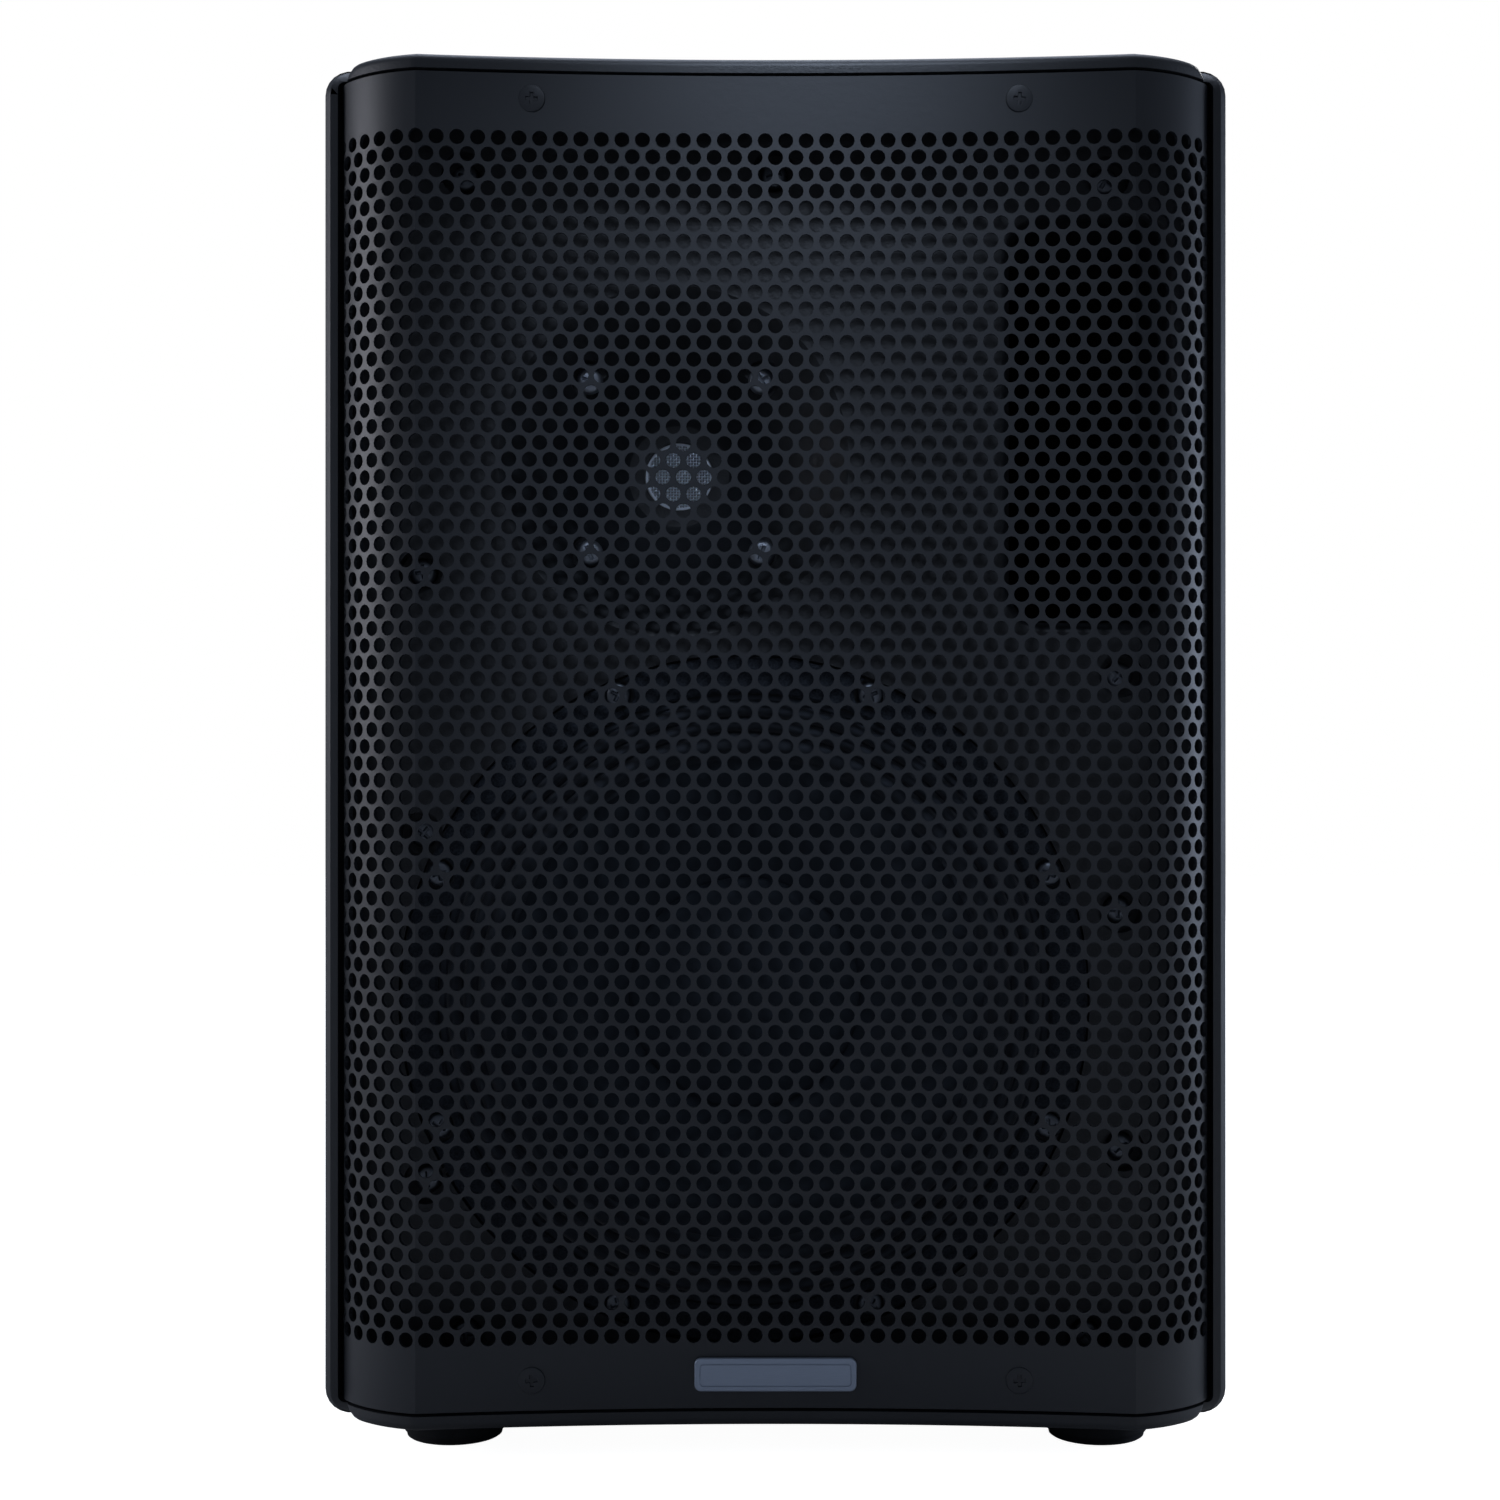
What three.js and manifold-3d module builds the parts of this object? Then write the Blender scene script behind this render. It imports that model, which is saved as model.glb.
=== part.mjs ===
// A powered two-way loudspeaker cabinet: an 8 inch woofer, a horn-loaded compression driver,
// a tuned port, a perforated steel grille and an amplifier in the back of a two-piece moulded shell.
// Millimetres. +X is to the right seen from the front, +Y to the back, +Z up.
// The origin is on the floor under the middle of the cabinet.
import * as THREE from "three";
import { mergeVertices } from "three/addons/utils/BufferGeometryUtils.js";
import Module from "manifold-3d";

const wasm = await Module();
wasm.setup();

// ---- Driving dimensions ----

const width = 271;
const depth = 278;
const height = 415;
const wall = 4;
const gap = 0.3; // air left between pieces that touch

const footDrop = 9.5;
const footRadius = 15.5;
const footStemRadius = 4;
const footSideInset = 37;
const frontFootSetback = 34;
const rearFootSetback = 39;
const rearFootSpread = 70;

// The plan of the cabinet: a hollow front between two creases, round corners, tapering sides.
const creaseInset = 29.7; // from the side of the cabinet
const frontSag = 6.7; // how far the middle of the front lies behind the creases
const cornerRadius = 37.5;
const taperStart = 99; // behind the front
const taperAngle = THREE.MathUtils.degToRad(14);
const taperBendRadius = 40;
const backCornerRadius = 22;
const edgeRadius = 8.3; // where the sides meet the top and bottom
const lipRadius = 2.5; // where the front meets the top and bottom

const baffleSetback = 30;
const baffleThickness = 5;
const sideRim = 4.1;
const sideRimSetback = 16;
const rimChamfer = [1.5, 2];
const endRim = 4.4;
const rimCorner = 2;
const seamSetback = 51;
const seamGap = 0.8;
const gasketWidth = 2.2;
const gasketThickness = 4;

const sheet = 1.2; // grille steel
const grilleEndGap = 1;
const cornerEndAngle = THREE.MathUtils.degToRad(57); // where the corner stops short of the side
const grilleFlangeInset = 5.6;
const grilleFlangeSetback = 27;
const grilleScrewSpread = 72;
const grilleScrewInset = [8.9, 7.4]; // from the grille's bottom and top
const grilleScrewRadius = 4;
const badgeSize = [48, 9.8, 1.4];

const wooferX = -9.6;
const wooferFloorMargin = 18.2;
const recessRadius = 105.7;
const recessDepth = 4;
const basketRadius = 105;
const basketSheet = 1.2;
const basketDepth = 60;
const basketWindows = 6;
const surroundRadius = 93.5;
const coneRadius = 76.3;
const dustCapRadius = 36.4;
const dustCapSetback = 24;
const coilRadius = 19.9;
const topPlateThickness = 8;
const topPlateRadius = 55;
const magnetRadius = 62;
const magnetThickness = 18;
const yokeThickness = 8;
const wooferScrews = 8;
const wooferScrewCircle = 100.9;
const wooferScrewRadius = 4;

const hornX = -31.2;
const hornTopMargin = 63.1;
const hornMouthRadius = 53.8;
const hornDepth = 47;
const hornNeckRadius = 16;
const throatRadius = 11.1;
const hornWall = 3;
const hornFlangeRadius = 46;
const driverScrewCircle = 38;
const driverScrewPocket = 5.7;
const driverRadius = 45;
const driverPlate = 6;
const driverMagnetThickness = 12;
const driverTopPlate = 4;
const driverCoilRadius = 17.6;
const driverCoverDepth = 18;

const portSize = [47.4, 122.4];
const portFlare = 3.3;
const portFlareDepth = 9;
const portCorner = 10.5;
const portSideMargin = 16;
const portTopMargin = 43.5;
const portWall = 2.5;
const portLength = 95;

const shellScrewPocket = 6.75;
const shellScrewPocketDepth = 8;
const shellScrewBoss = 9.5;

const poleSocketBore = 18;
const poleSocketDepth = 66;
const poleSocketWall = 4;
const poleSocketFlange = 30;
const poleSocketFlangeThickness = 3;
const insertRadius = 6;
const insertBore = 4;
const insertLength = 15;

const gripHalfWidth = 62;
const gripHeight = 58;
const gripDepth = 48;
const gripTopMargin = 27;
const gripBarThickness = 20;
const gripHook = 15; // how far the fingers reach up behind the bar
const gripCorner = 12;

const panelSize = [140.4, 251.4];
const panelTopMargin = 104.3;
const panelSetback = 12;
const panelThickness = 3;
const ledgeWidth = 6.5;
const knobRadius = 7.5;
const knobLength = 10.5;
const shaftRadius = 3;
const jackPlate = [26, 31, 1.8];
const jackRadius = 11.8;
const jackDepth = 17;
const inletPlate = [31, 25, 1.8];
const inletCavity = [24.4, 16.6, 17];
const switchPlate = [19, 28, 1.8];
const switchThroat = [11.8, 20.4];
const switchWall = 1.5;
const rockerTilt = THREE.MathUtils.degToRad(11);
const slotSize = [5, 9];
const slideTravel = 4;
const heatSinkSize = [124, 50];
const heatSinkBase = 3;
const heatSinkFins = 13;
const finThickness = 2;
const boardThickness = 1.6;
const chassisSheet = 1.5;
const chassisDepth = 57;

// ---- Places worked out from them ----

const halfWidth = width / 2;
const front = -depth / 2;
const back = depth / 2;
const floor = footDrop; // underside of the shell
const baffle = front + baffleSetback;
const seam = front + seamSetback;
const creaseX = halfWidth - creaseInset;
const sagRadius = (creaseX ** 2 + frontSag ** 2) / (2 * frontSag);
const cornerX = halfWidth - cornerRadius;
const creaseAngle = Math.asin((creaseX - cornerX) / cornerRadius);
const cornerY = front + cornerRadius * Math.cos(creaseAngle);
const grilleBottom = floor + endRim + grilleEndGap;
const grilleTop = height - endRim - grilleEndGap;
const grilleScrewZ = [grilleBottom + grilleScrewInset[0], grilleTop - grilleScrewInset[1]];

const wooferZ = floor + wooferFloorMargin + recessRadius;
const basketBack = baffle + recessDepth - gap;
const basketFace = basketBack - basketSheet;
const coneEdge = basketFace;
const motorFront = basketBack + basketDepth - 1;
const magnetFront = motorFront + topPlateThickness + gap;
const yokeFront = magnetFront + magnetThickness + gap;
const motorBack = yokeFront + yokeThickness;
const hornZ = height - hornTopMargin - hornMouthRadius;
const hornBack = baffle + hornDepth;
const driverFront = hornBack + gap;
const driverMagnetFront = driverFront + driverPlate + gap;
const driverTopPlateFront = driverMagnetFront + driverMagnetThickness + gap;
const driverDomeFront = driverTopPlateFront + driverTopPlate + gap;
const portX = halfWidth - portSideMargin - portSize[0] / 2;
const portZ = height - portTopMargin - portSize[1] / 2;

const poleY = motorBack + gap + wall + poleSocketBore + poleSocketWall;
const gripTop = height - gripTopMargin;
const gripBottom = gripTop - gripHeight;
const panelFace = back - panelSetback;
const panelBack = panelFace - panelThickness;
const panelTop = height - panelTopMargin;
const panelBottom = panelTop - panelSize[1];
const panelZ = panelTop - panelSize[1] / 2;
const knobSpots = {
  preset: [0, panelTop - 26],
  gainA: [-36, panelTop - 60],
  gainB: [36, panelTop - 60],
};
const inputSpots = [[-36, panelTop - 100], [36, panelTop - 100]];
const slotSpot = [0, panelTop - 76];
const auxSpot = [-36, panelTop - 136];
const mixSpot = [36, panelTop - 136];
const inletSpot = [-36, panelBottom + 22];
const switchSpot = [36, panelBottom + 22];
const heatSinkZ = panelBottom + 71;
const chassisBack = panelBack - chassisDepth;
const chassisHalfWidth = panelSize[0] / 2 - ledgeWidth - 3;
const chassisBottom = Math.max(floor + poleSocketDepth + poleSocketWall, panelBottom + ledgeWidth) + 5;
const chassisTop = panelTop - ledgeWidth - 4;

// Screws that hold the two shells together, as [x, z] on the baffle.
const shellScrews = [
  [-halfWidth + 40, height - 29],
  [-0.5, height - 28.4],
  [halfWidth - 34, height - 30.2],
  [-halfWidth + 27, wooferZ + 131.1],
  [-halfWidth + 27, wooferZ + 50.7],
  [-halfWidth + 28.4, wooferZ - 55.8],
  [halfWidth - 29.8, wooferZ + 99.3],
  [halfWidth - 30.1, wooferZ + 27.2],
  [halfWidth - 29.3, wooferZ - 45.8],
  [-halfWidth + 40, floor + 20.5],
  [halfWidth - 40, floor + 20.5],
];
const feet = [
  ["front_left_foot", -halfWidth + footSideInset, front + frontFootSetback],
  ["front_right_foot", halfWidth - footSideInset, front + frontFootSetback],
  ["rear_left_foot", -rearFootSpread, back - rearFootSetback],
  ["rear_right_foot", rearFootSpread, back - rearFootSetback],
];

// ---- Helpers: three.js shapes in, solids out ----

function solid(geometry) {
  geometry.deleteAttribute("normal");
  geometry.deleteAttribute("uv");
  const merged = mergeVertices(geometry, 1e-4);
  const corners = merged.index.array;
  const kept = [];
  for (let i = 0; i < corners.length; i += 3) {
    const [a, b, c] = corners.slice(i, i + 3);
    if (a !== b && b !== c && c !== a) kept.push(a, b, c); // a lathe's poles collapse
  }
  return new wasm.Manifold(
    new wasm.Mesh({
      numProp: 3,
      vertProperties: merged.attributes.position.array,
      triVerts: new Uint32Array(kept),
    }),
  );
}

function geometryOf(body) {
  const mesh = body.getMesh();
  return new THREE.BufferGeometry()
    .setAttribute("position", new THREE.BufferAttribute(mesh.vertProperties, 3))
    .setIndex(new THREE.BufferAttribute(mesh.triVerts, 1));
}

const middle = ([low, high]) => (low + high) / 2;
const span = ([low, high]) => high - low;

function block(x, y, z) {
  const box = new THREE.BoxGeometry(span(x), span(y), span(z));
  return solid(box.translate(middle(x), middle(y), middle(z)));
}

// A cylinder along Y.
function disc(radius, y, [x, z] = [0, 0], sides = 12) {
  const round = new THREE.CylinderGeometry(radius, radius, span(y), sides);
  return solid(round.translate(x, middle(y), z));
}

// A cylinder along Z.
function post(radius, z, [x, y] = [0, 0], sides = 12) {
  const round = new THREE.CylinderGeometry(radius, radius, span(z), sides);
  return solid(round.rotateX(Math.PI / 2).translate(x, y, middle(z)));
}

// A closed [radius, y] outline turned round the Y axis.
function turned(outline, sides = 24) {
  const points = outline.map(([r, y]) => new THREE.Vector2(r, y));
  if (THREE.ShapeUtils.isClockWise(points)) points.reverse();
  return solid(new THREE.LatheGeometry([...points, points[0]], sides));
}

// An [x, z] shape extruded along Y.
function slab(shape, y, curveSegments = 2) {
  const plate = new THREE.ExtrudeGeometry(shape, { depth: span(y), bevelEnabled: false, curveSegments });
  return solid(plate.rotateX(Math.PI / 2).translate(0, y[1], 0));
}

// An [x, y] shape extruded along Z.
function prism(shape, z) {
  const bar = new THREE.ExtrudeGeometry(shape, { depth: span(z), bevelEnabled: false });
  return solid(bar.translate(0, 0, z[0]));
}

function polygon(points) {
  return new THREE.Shape(points.map(([x, y]) => new THREE.Vector2(x, y)));
}

function roundedRect(wide, high, radius, [x, z] = [0, 0]) {
  const [right, top] = [wide / 2 - radius, high / 2 - radius];
  return new THREE.Shape()
    .absarc(x + right, z + top, radius, 0, Math.PI / 2)
    .absarc(x - right, z + top, radius, Math.PI / 2, Math.PI)
    .absarc(x - right, z - top, radius, Math.PI, Math.PI * 1.5)
    .absarc(x + right, z - top, radius, Math.PI * 1.5, Math.PI * 2);
}

// A solid skinned over rings of 3-D points that all have the same number of corners.
function lofted(rings) {
  const count = rings[0].length;
  const triangles = [];
  for (let ring = 1; ring < rings.length; ring += 1) {
    for (let i = 0; i < count; i += 1) {
      const j = (i + 1) % count;
      const [a, b] = [(ring - 1) * count + i, (ring - 1) * count + j];
      triangles.push(a, b, b + count, a, b + count, a + count);
    }
  }
  const cap = (ring) =>
    THREE.ShapeUtils.triangulateShape(ring.map(([x, y]) => new THREE.Vector2(x, y)), []);
  for (const [a, b, c] of cap(rings[0])) triangles.push(a, c, b);
  const last = (rings.length - 1) * count;
  for (const [a, b, c] of cap(rings.at(-1))) triangles.push(last + a, last + b, last + c);
  const skin = new THREE.BufferGeometry()
    .setAttribute("position", new THREE.Float32BufferAttribute(rings.flat(2), 3))
    .setIndex(triangles);
  return solid(skin);
}

const arc = (centreX, centreY, radius, from, to, steps) =>
  Array.from({ length: steps + 1 }, (_, i) => {
    const angle = from + ((to - from) * i) / steps;
    return [centreX + radius * Math.sin(angle), centreY - radius * Math.cos(angle)];
  });

const around = (count, radius, turn = 0) =>
  Array.from({ length: count }, (_, i) => {
    const angle = turn + (i * 2 * Math.PI) / count;
    return [radius * Math.cos(angle), radius * Math.sin(angle)];
  });

const joined = (bodies) => bodies.reduce((sum, body) => sum.add(body));
const cut = (body, tools) => tools.reduce((rest, tool) => rest.subtract(tool), body);

// ---- The cabinet's plan ----

// Half the front, from the middle to the end of the right corner: [x, y] points moved in by inset.
function frontCurve(inset) {
  const sagAngle = Math.asin(creaseX / sagRadius);
  const hollow = arc(0, front + frontSag - sagRadius, sagRadius + inset, Math.PI, Math.PI - sagAngle, 4);
  const corner = arc(cornerX, cornerY, cornerRadius - inset, creaseAngle, cornerEndAngle, 5);
  return [...hollow.slice(0, -1), ...corner];
}

// The front edge of the right side, which stands a little behind the corner.
function sideRimEdge(inset) {
  const [x, y] = [halfWidth, front + sideRimSetback];
  return [[x - rimChamfer[0] - 0.9 * inset, y + 0.9 * inset], [x - inset, y + rimChamfer[1] + 0.9 * inset]];
}

// Half the sides and back, from the right to the middle.
function backCurve(inset) {
  const [bendX, bendY] = [halfWidth - taperBendRadius, front + taperStart];
  const [cos, sin] = [Math.cos(taperAngle), Math.sin(taperAngle)];
  const reach = bendX * cos + bendY * sin + taperBendRadius - backCornerRadius;
  const backY = back - backCornerRadius;
  const backX = (reach - sin * backY) / cos;
  const quarter = Math.PI / 2;
  return [
    ...arc(bendX, bendY, taperBendRadius - inset, quarter, quarter + taperAngle, 2),
    ...arc(backX, backY, backCornerRadius - inset, quarter + taperAngle, Math.PI, 4),
  ];
}

const mirrored = (half) => half.map(([x, y]) => [-x, y]).reverse();
const wholePlan = (inset) => {
  const right = [...frontCurve(inset), ...sideRimEdge(inset), ...backCurve(inset)];
  return [...right, ...mirrored(right).slice(0, -1)];
};

// The fillet between the plan and the top or bottom is small along the front and large elsewhere.
function filletAt([x, y]) {
  const share = THREE.MathUtils.clamp((y - front) / sideRimSetback, 0, 1);
  return THREE.MathUtils.lerp(lipRadius, edgeRadius, share ** 4);
}

function cabinetBlock() {
  const outline = wholePlan(0);
  const insets = wholePlan(1).map(([x, y], i) => [x - outline[i][0], y - outline[i][1]]);
  const ring = (turn, end, sign) =>
    outline.map(([x, y], i) => {
      const radius = filletAt([x, y]);
      const inset = radius * (1 - Math.cos(turn));
      const z = end - sign * radius * (1 - Math.sin(turn));
      return [x + insets[i][0] * inset, y + insets[i][1] * inset, z];
    });
  const turns = [0, 1, 2].map((i) => (i * Math.PI) / 4);
  const bottomRings = turns.map((turn) => ring(turn, floor, -1)).reverse();
  return lofted([...bottomRings, ...turns.map((turn) => ring(turn, height, 1))]);
}

const elevation = (inset) =>
  roundedRect(width - 2 * inset, height - floor - 2 * inset, edgeRadius, [0, (height + floor) / 2]);

// ---- Shells ----

function hornBody() {
  const flange = hornBack - wall;
  return turned([
    [0, baffle + 1], [hornMouthRadius + hornWall, baffle + 1],
    [hornNeckRadius + hornWall + 6, hornBack - 12], [hornNeckRadius + hornWall, flange],
    [hornFlangeRadius, flange], [hornFlangeRadius, hornBack], [0, hornBack],
  ]);
}

function hornBore() {
  return turned([
    [0, baffle - 1], [hornMouthRadius, baffle - 1], [hornMouthRadius, baffle],
    [hornMouthRadius - 3.5, baffle + 1.8], [hornNeckRadius + 5, hornBack - 9],
    [hornNeckRadius, hornBack - 4], [throatRadius, hornBack - 3.5],
    [throatRadius, hornBack + 1], [0, hornBack + 1],
  ]);
}

const driverScrewSpots = around(4, driverScrewCircle, Math.PI / 4);

function moved(body, x, z) {
  return body.translate(x, 0, z);
}

function horn(shell) {
  const bosses = driverScrewSpots.map((spot) =>
    disc(driverScrewPocket + 2, [baffle + 6, hornBack], spot, 8));
  const pockets = driverScrewSpots.map((spot) =>
    disc(driverScrewPocket, [baffle - 1, hornBack - 12], spot, 8));
  const body = joined([hornBody(), ...bosses]);
  const tools = [hornBore(), ...pockets];
  return cut(shell.add(moved(body, hornX, hornZ)), tools.map((tool) => moved(tool, hornX, hornZ)));
}

function portRing(grow, y) {
  const [wide, high] = portSize;
  const outline = roundedRect(wide + 2 * grow, high + 2 * grow, portCorner + grow, [portX, portZ]);
  return outline.getPoints(4).slice(0, -1).map((p) => [p.x, p.y, y]);
}

// The port's mouth flares towards the front like the bell of a horn.
function portMouth() {
  const steps = [0, 1, 2, 3];
  const rings = steps.map((i) => {
    const turn = (i * Math.PI) / 6;
    return portRing(portFlare * (1 - Math.sin(turn)), baffle + portFlareDepth * (1 - Math.cos(turn)));
  });
  return [portRing(portFlare, baffle - 1), ...rings, portRing(0, seam + 10)];
}

function throughPort() {
  // The rings run along Y, so their caps are worked out with Y and Z exchanged.
  const rings = portMouth().map((ring) => ring.map(([x, z, y]) => [x, z, -y]));
  const tool = lofted(rings.reverse());
  return tool.rotate(90, 0, 0);
}

function frontShell() {
  const behindBaffle = baffle + baffleThickness;
  const rim = roundedRect(
    width - 2 * sideRim, height - floor - 2 * endRim, rimCorner, [0, (height + floor) / 2]);
  let shell = cabinetBlock().intersect(
    block([-width, width], [front - 1, seam - seamGap / 2], [0, height + 1]));
  shell = cut(shell, [
    slab(rim, [front - 5, baffle]),
    slab(elevation(wall), [behindBaffle, seam + 1]),
    slab(elevation(wall - gasketWidth), [seam - gasketThickness / 2 - gap, seam + 1]),
  ]);
  const wooferSpot = [wooferX, wooferZ];
  const wooferBoss = disc(recessRadius + 4, [baffle + 1, basketBack + wall + 2], wooferSpot, 24);
  const portBoss = slab(
    roundedRect(portSize[0] + 2 * wall, portSize[1] + 2 * wall, portCorner + wall, [portX, portZ]),
    [baffle + 1, baffle + portFlareDepth + 3],
  );
  const screwBosses = shellScrews.map((spot) => disc(shellScrewBoss, [baffle + 1, seam - 2], spot, 8));
  const grillePosts = grilleScrewSpots().map(([x, z, y]) => disc(5, [y + 3, baffle + 1], [x, z], 8));
  shell = joined([shell, wooferBoss.intersect(slab(elevation(1), [front, back])), portBoss,
    ...screwBosses.map((boss) => boss.intersect(slab(elevation(1), [front, back]))), ...grillePosts]);
  shell = cut(horn(shell), [
    disc(recessRadius, [baffle - 1, baffle + recessDepth], wooferSpot, 24),
    disc(surroundRadius - 2.5, [baffle - 1, seam + 5], wooferSpot, 24),
    throughPort(),
    ...shellScrews.map((spot) =>
      disc(shellScrewPocket, [baffle - 1, baffle + shellScrewPocketDepth], spot, 8)),
    ...grilleScrewSpots().map(([x, z, y]) => disc(2.4, [y, baffle - 2], [x, z], 6)),
    ...wooferScrewSpots().map(([x, z]) =>
      disc(2.4, [baffle, basketBack + wall], [x + wooferX, z + wooferZ], 6)),
    ...feet.slice(0, 2).map(([, x, y]) => post(footStemRadius + gap, [0, floor + wall + gap], [x, y], 8)),
  ]);
  return shell;
}

function rearShell() {
  const outside = cabinetBlock().intersect(
    block([-width, width], [seam + seamGap / 2, back + 1], [0, height + 1]));
  const inside = prism(polygon(wholePlan(wall)), [floor + wall, height - wall]);
  const gripShape = (grow) => roundedRect(
    2 * (gripHalfWidth + grow), gripHeight + 2 * grow, gripCorner, [0, (gripTop + gripBottom) / 2]);
  const hookShape = (grow) => roundedRect(
    2 * (gripHalfWidth + grow), 2 * gripHook + 2 * grow, gripCorner, [0, gripTop]);
  const panelHole = roundedRect(panelSize[0] + 2 * gap, panelSize[1] + 2 * gap, 4, [0, panelZ]);
  const ledgeHole = roundedRect(
    panelSize[0] - 2 * ledgeWidth, panelSize[1] - 2 * ledgeWidth, 4, [0, panelZ]);
  const panelFrame = roundedRect(panelSize[0] + 2 * wall, panelSize[1] + 2 * wall, 8, [0, panelZ]);
  const gasketSeat = slab(elevation(wall - gasketWidth), [seam - 1, seam + gasketThickness / 2 + gap]);
  const hollow = cut(outside, [inside, gasketSeat]);
  const walls = joined([
    hollow,
    slab(gripShape(wall), [back - gripDepth - wall, back - 1]),
    slab(hookShape(wall), [back - gripDepth - wall, back - 1]),
    slab(panelFrame, [panelBack - gap - wall, back - 1]),
    post(insertRadius + wall, [height - insertLength - 3, height - 1], [0, poleY]),
  ]);
  return cut(walls, [
    slab(gripShape(0), [back - gripDepth, back + 1]),
    slab(hookShape(0), [back - gripDepth, back - gripBarThickness]),
    slab(panelHole, [panelBack - gap, back + 1]),
    slab(ledgeHole, [panelBack - gap - wall - 1, back]),
    post(poleSocketBore + poleSocketWall + gap, [0, floor + wall + 1], [0, poleY], 16),
    post(insertRadius + gap, [height - insertLength - gap, height + 1], [0, poleY]),
    ...feet.slice(2).map(([, x, y]) => post(footStemRadius + gap, [0, floor + wall + 1], [x, y], 8)),
  ]);
}

function shellGasket() {
  const reach = [seam - gasketThickness / 2, seam + gasketThickness / 2];
  return slab(elevation(wall - gasketWidth + gap), reach)
    .subtract(slab(elevation(wall + 1), [reach[0] - 1, reach[1] + 1]));
}

function foot() {
  const body = post(footRadius, [1.5, floor - gap], [0, 0], 16);
  const tread = post(footRadius - 1.2, [0, 3], [0, 0], 16);
  return joined([body, tread, post(footStemRadius, [3, floor + wall], [0, 0], 8)]);
}

// ---- Grille ----

const frontAt = (x) => front + frontSag - sagRadius + Math.sqrt(sagRadius ** 2 - x ** 2);

function grilleScrewSpots() {
  return grilleScrewZ.flatMap((z) =>
    [-grilleScrewSpread, grilleScrewSpread].map((x) => [x, z, frontAt(x)]));
}

function grille() {
  const flange = halfWidth - grilleFlangeInset;
  const flangeEnd = front + grilleFlangeSetback;
  const face = (inset) => {
    const curve = frontCurve(inset);
    const bendY = curve.at(-1)[1];
    return [...curve, [flange - inset, bendY + 2.5], [flange - inset, flangeEnd]];
  };
  const outer = [...mirrored(face(0)).slice(0, -1), ...face(0)];
  const inner = [...mirrored(face(sheet)).slice(0, -1), ...face(sheet)].reverse();
  const body = prism(polygon([...outer, ...inner]), [grilleBottom, grilleTop]);
  return cut(body, grilleScrewSpots().map(([x, z]) =>
    disc(grilleScrewRadius + gap, [front - 1, front + 10], [x, z], 12)));
}

function badge() {
  const [wide, high, thick] = badgeSize;
  const face = frontAt(0) - 0.7;
  return slab(roundedRect(wide, high, 2, [0, 0]), [face - thick, face]);
}

// A pan-head screw along Y with its head's face at y = 0.
function screw(headRadius, headHeight, shankRadius, length) {
  return turned([
    [0, 0], [headRadius - 0.8, 0], [headRadius, 0.8], [headRadius, headHeight],
    [shankRadius, headHeight], [shankRadius, length], [0, length],
  ], 8);
}

// ---- Woofer, turned round its own axis ----

function wooferScrewSpots() {
  return around(wooferScrews, wooferScrewCircle, Math.PI / wooferScrews);
}

function wooferBasket() {
  const seat = motorFront - gap;
  const ledge = seat - 13.7;
  const rim = surroundRadius - 3.2;
  const body = turned([
    [basketRadius, basketFace], [basketRadius, basketBack], [rim, basketBack],
    [rim - 2.3, basketBack + 5.3], [70, ledge], [60, ledge], [58, seat], [30, seat],
    [30, seat - 1.6], [56.3, seat - 1.6], [57.5, ledge - 1.5], [69, ledge - 1.5],
    [rim - 4.1, basketBack + 4.5], [rim - 1.7, basketFace],
  ]);
  const windowTool = (index) => {
    const box = new THREE.BoxGeometry(40, 27, 52).translate(85, basketBack + 23, 0);
    return solid(box.rotateY((index * 2 * Math.PI) / basketWindows));
  };
  const windows = Array.from({ length: basketWindows }, (_, i) => windowTool(i));
  const holes = wooferScrewSpots().map((spot) => disc(2.5, [basketFace - 1, basketBack + 1], spot, 6));
  return cut(body, [...windows, ...holes]);
}

function wooferGasket() {
  const ring = turned([
    [surroundRadius + gap, basketFace - gap], [basketRadius, basketFace - gap],
    [basketRadius, basketFace - 2.9], [surroundRadius + gap, basketFace - 2.9],
  ]);
  const holes = wooferScrewSpots().map((spot) => disc(5, [baffle - 5, baffle + 9], spot, 8));
  return cut(ring, holes);
}

// Two rolls side by side, glued to the basket outside and to the cone inside.
function wooferSurround() {
  const face = basketFace - gap;
  const rolls = [
    [surroundRadius, 0], [90, 0], [87.5, -3.3], [84.6, -3.2], [82.5, -1.3],
    [80.4, -3.2], [78, -3], [coneRadius + 0.3, -0.1], [coneRadius - 2.8, 1.1],
  ];
  const rear = rolls.map(([r, y]) => [r, face + y]);
  const skin = rolls.map(([r, y]) => [r, face + y - 0.7]).reverse();
  return turned([...rear, ...skin]);
}

function wooferCone() {
  const cap = baffle + dustCapSetback + 0.5;
  const face = [
    [coneRadius, coneEdge], [60, coneEdge + 7.6], [46, coneEdge + 14.6],
    [dustCapRadius - 0.4, cap], [28, cap + 4.6], [coilRadius + 0.7, cap + 9.4],
  ];
  const rear = face.map(([r, y]) => [r, y + 1]).reverse();
  return turned([...face, ...rear]);
}

function dustCap() {
  const rim = baffle + dustCapSetback - 0.5;
  const dome = [[dustCapRadius, 0], [30, -4.7], [21, -7.8], [10, -9.7], [0, -10.2]];
  const outside = dome.map(([r, y]) => [r, rim + y - 0.8]);
  const inside = dome.map(([r, y]) => [r, rim + y]).reverse();
  return turned([...outside, ...inside]);
}

function wooferSpider() {
  const seat = motorFront - gap - 13.7 - 1.5 - gap;
  const waves = [
    [67, 0], [58, 0], [53, -1.6], [46, 1.2], [39, -1.6], [32, 1.2], [25, -0.8],
    [coilRadius + gap, -0.8],
  ];
  const rear = waves.map(([r, y]) => [r, seat + y]);
  const skin = waves.map(([r, y]) => [r, seat + y - 0.8]).reverse();
  return turned([...rear, ...skin]);
}

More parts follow.
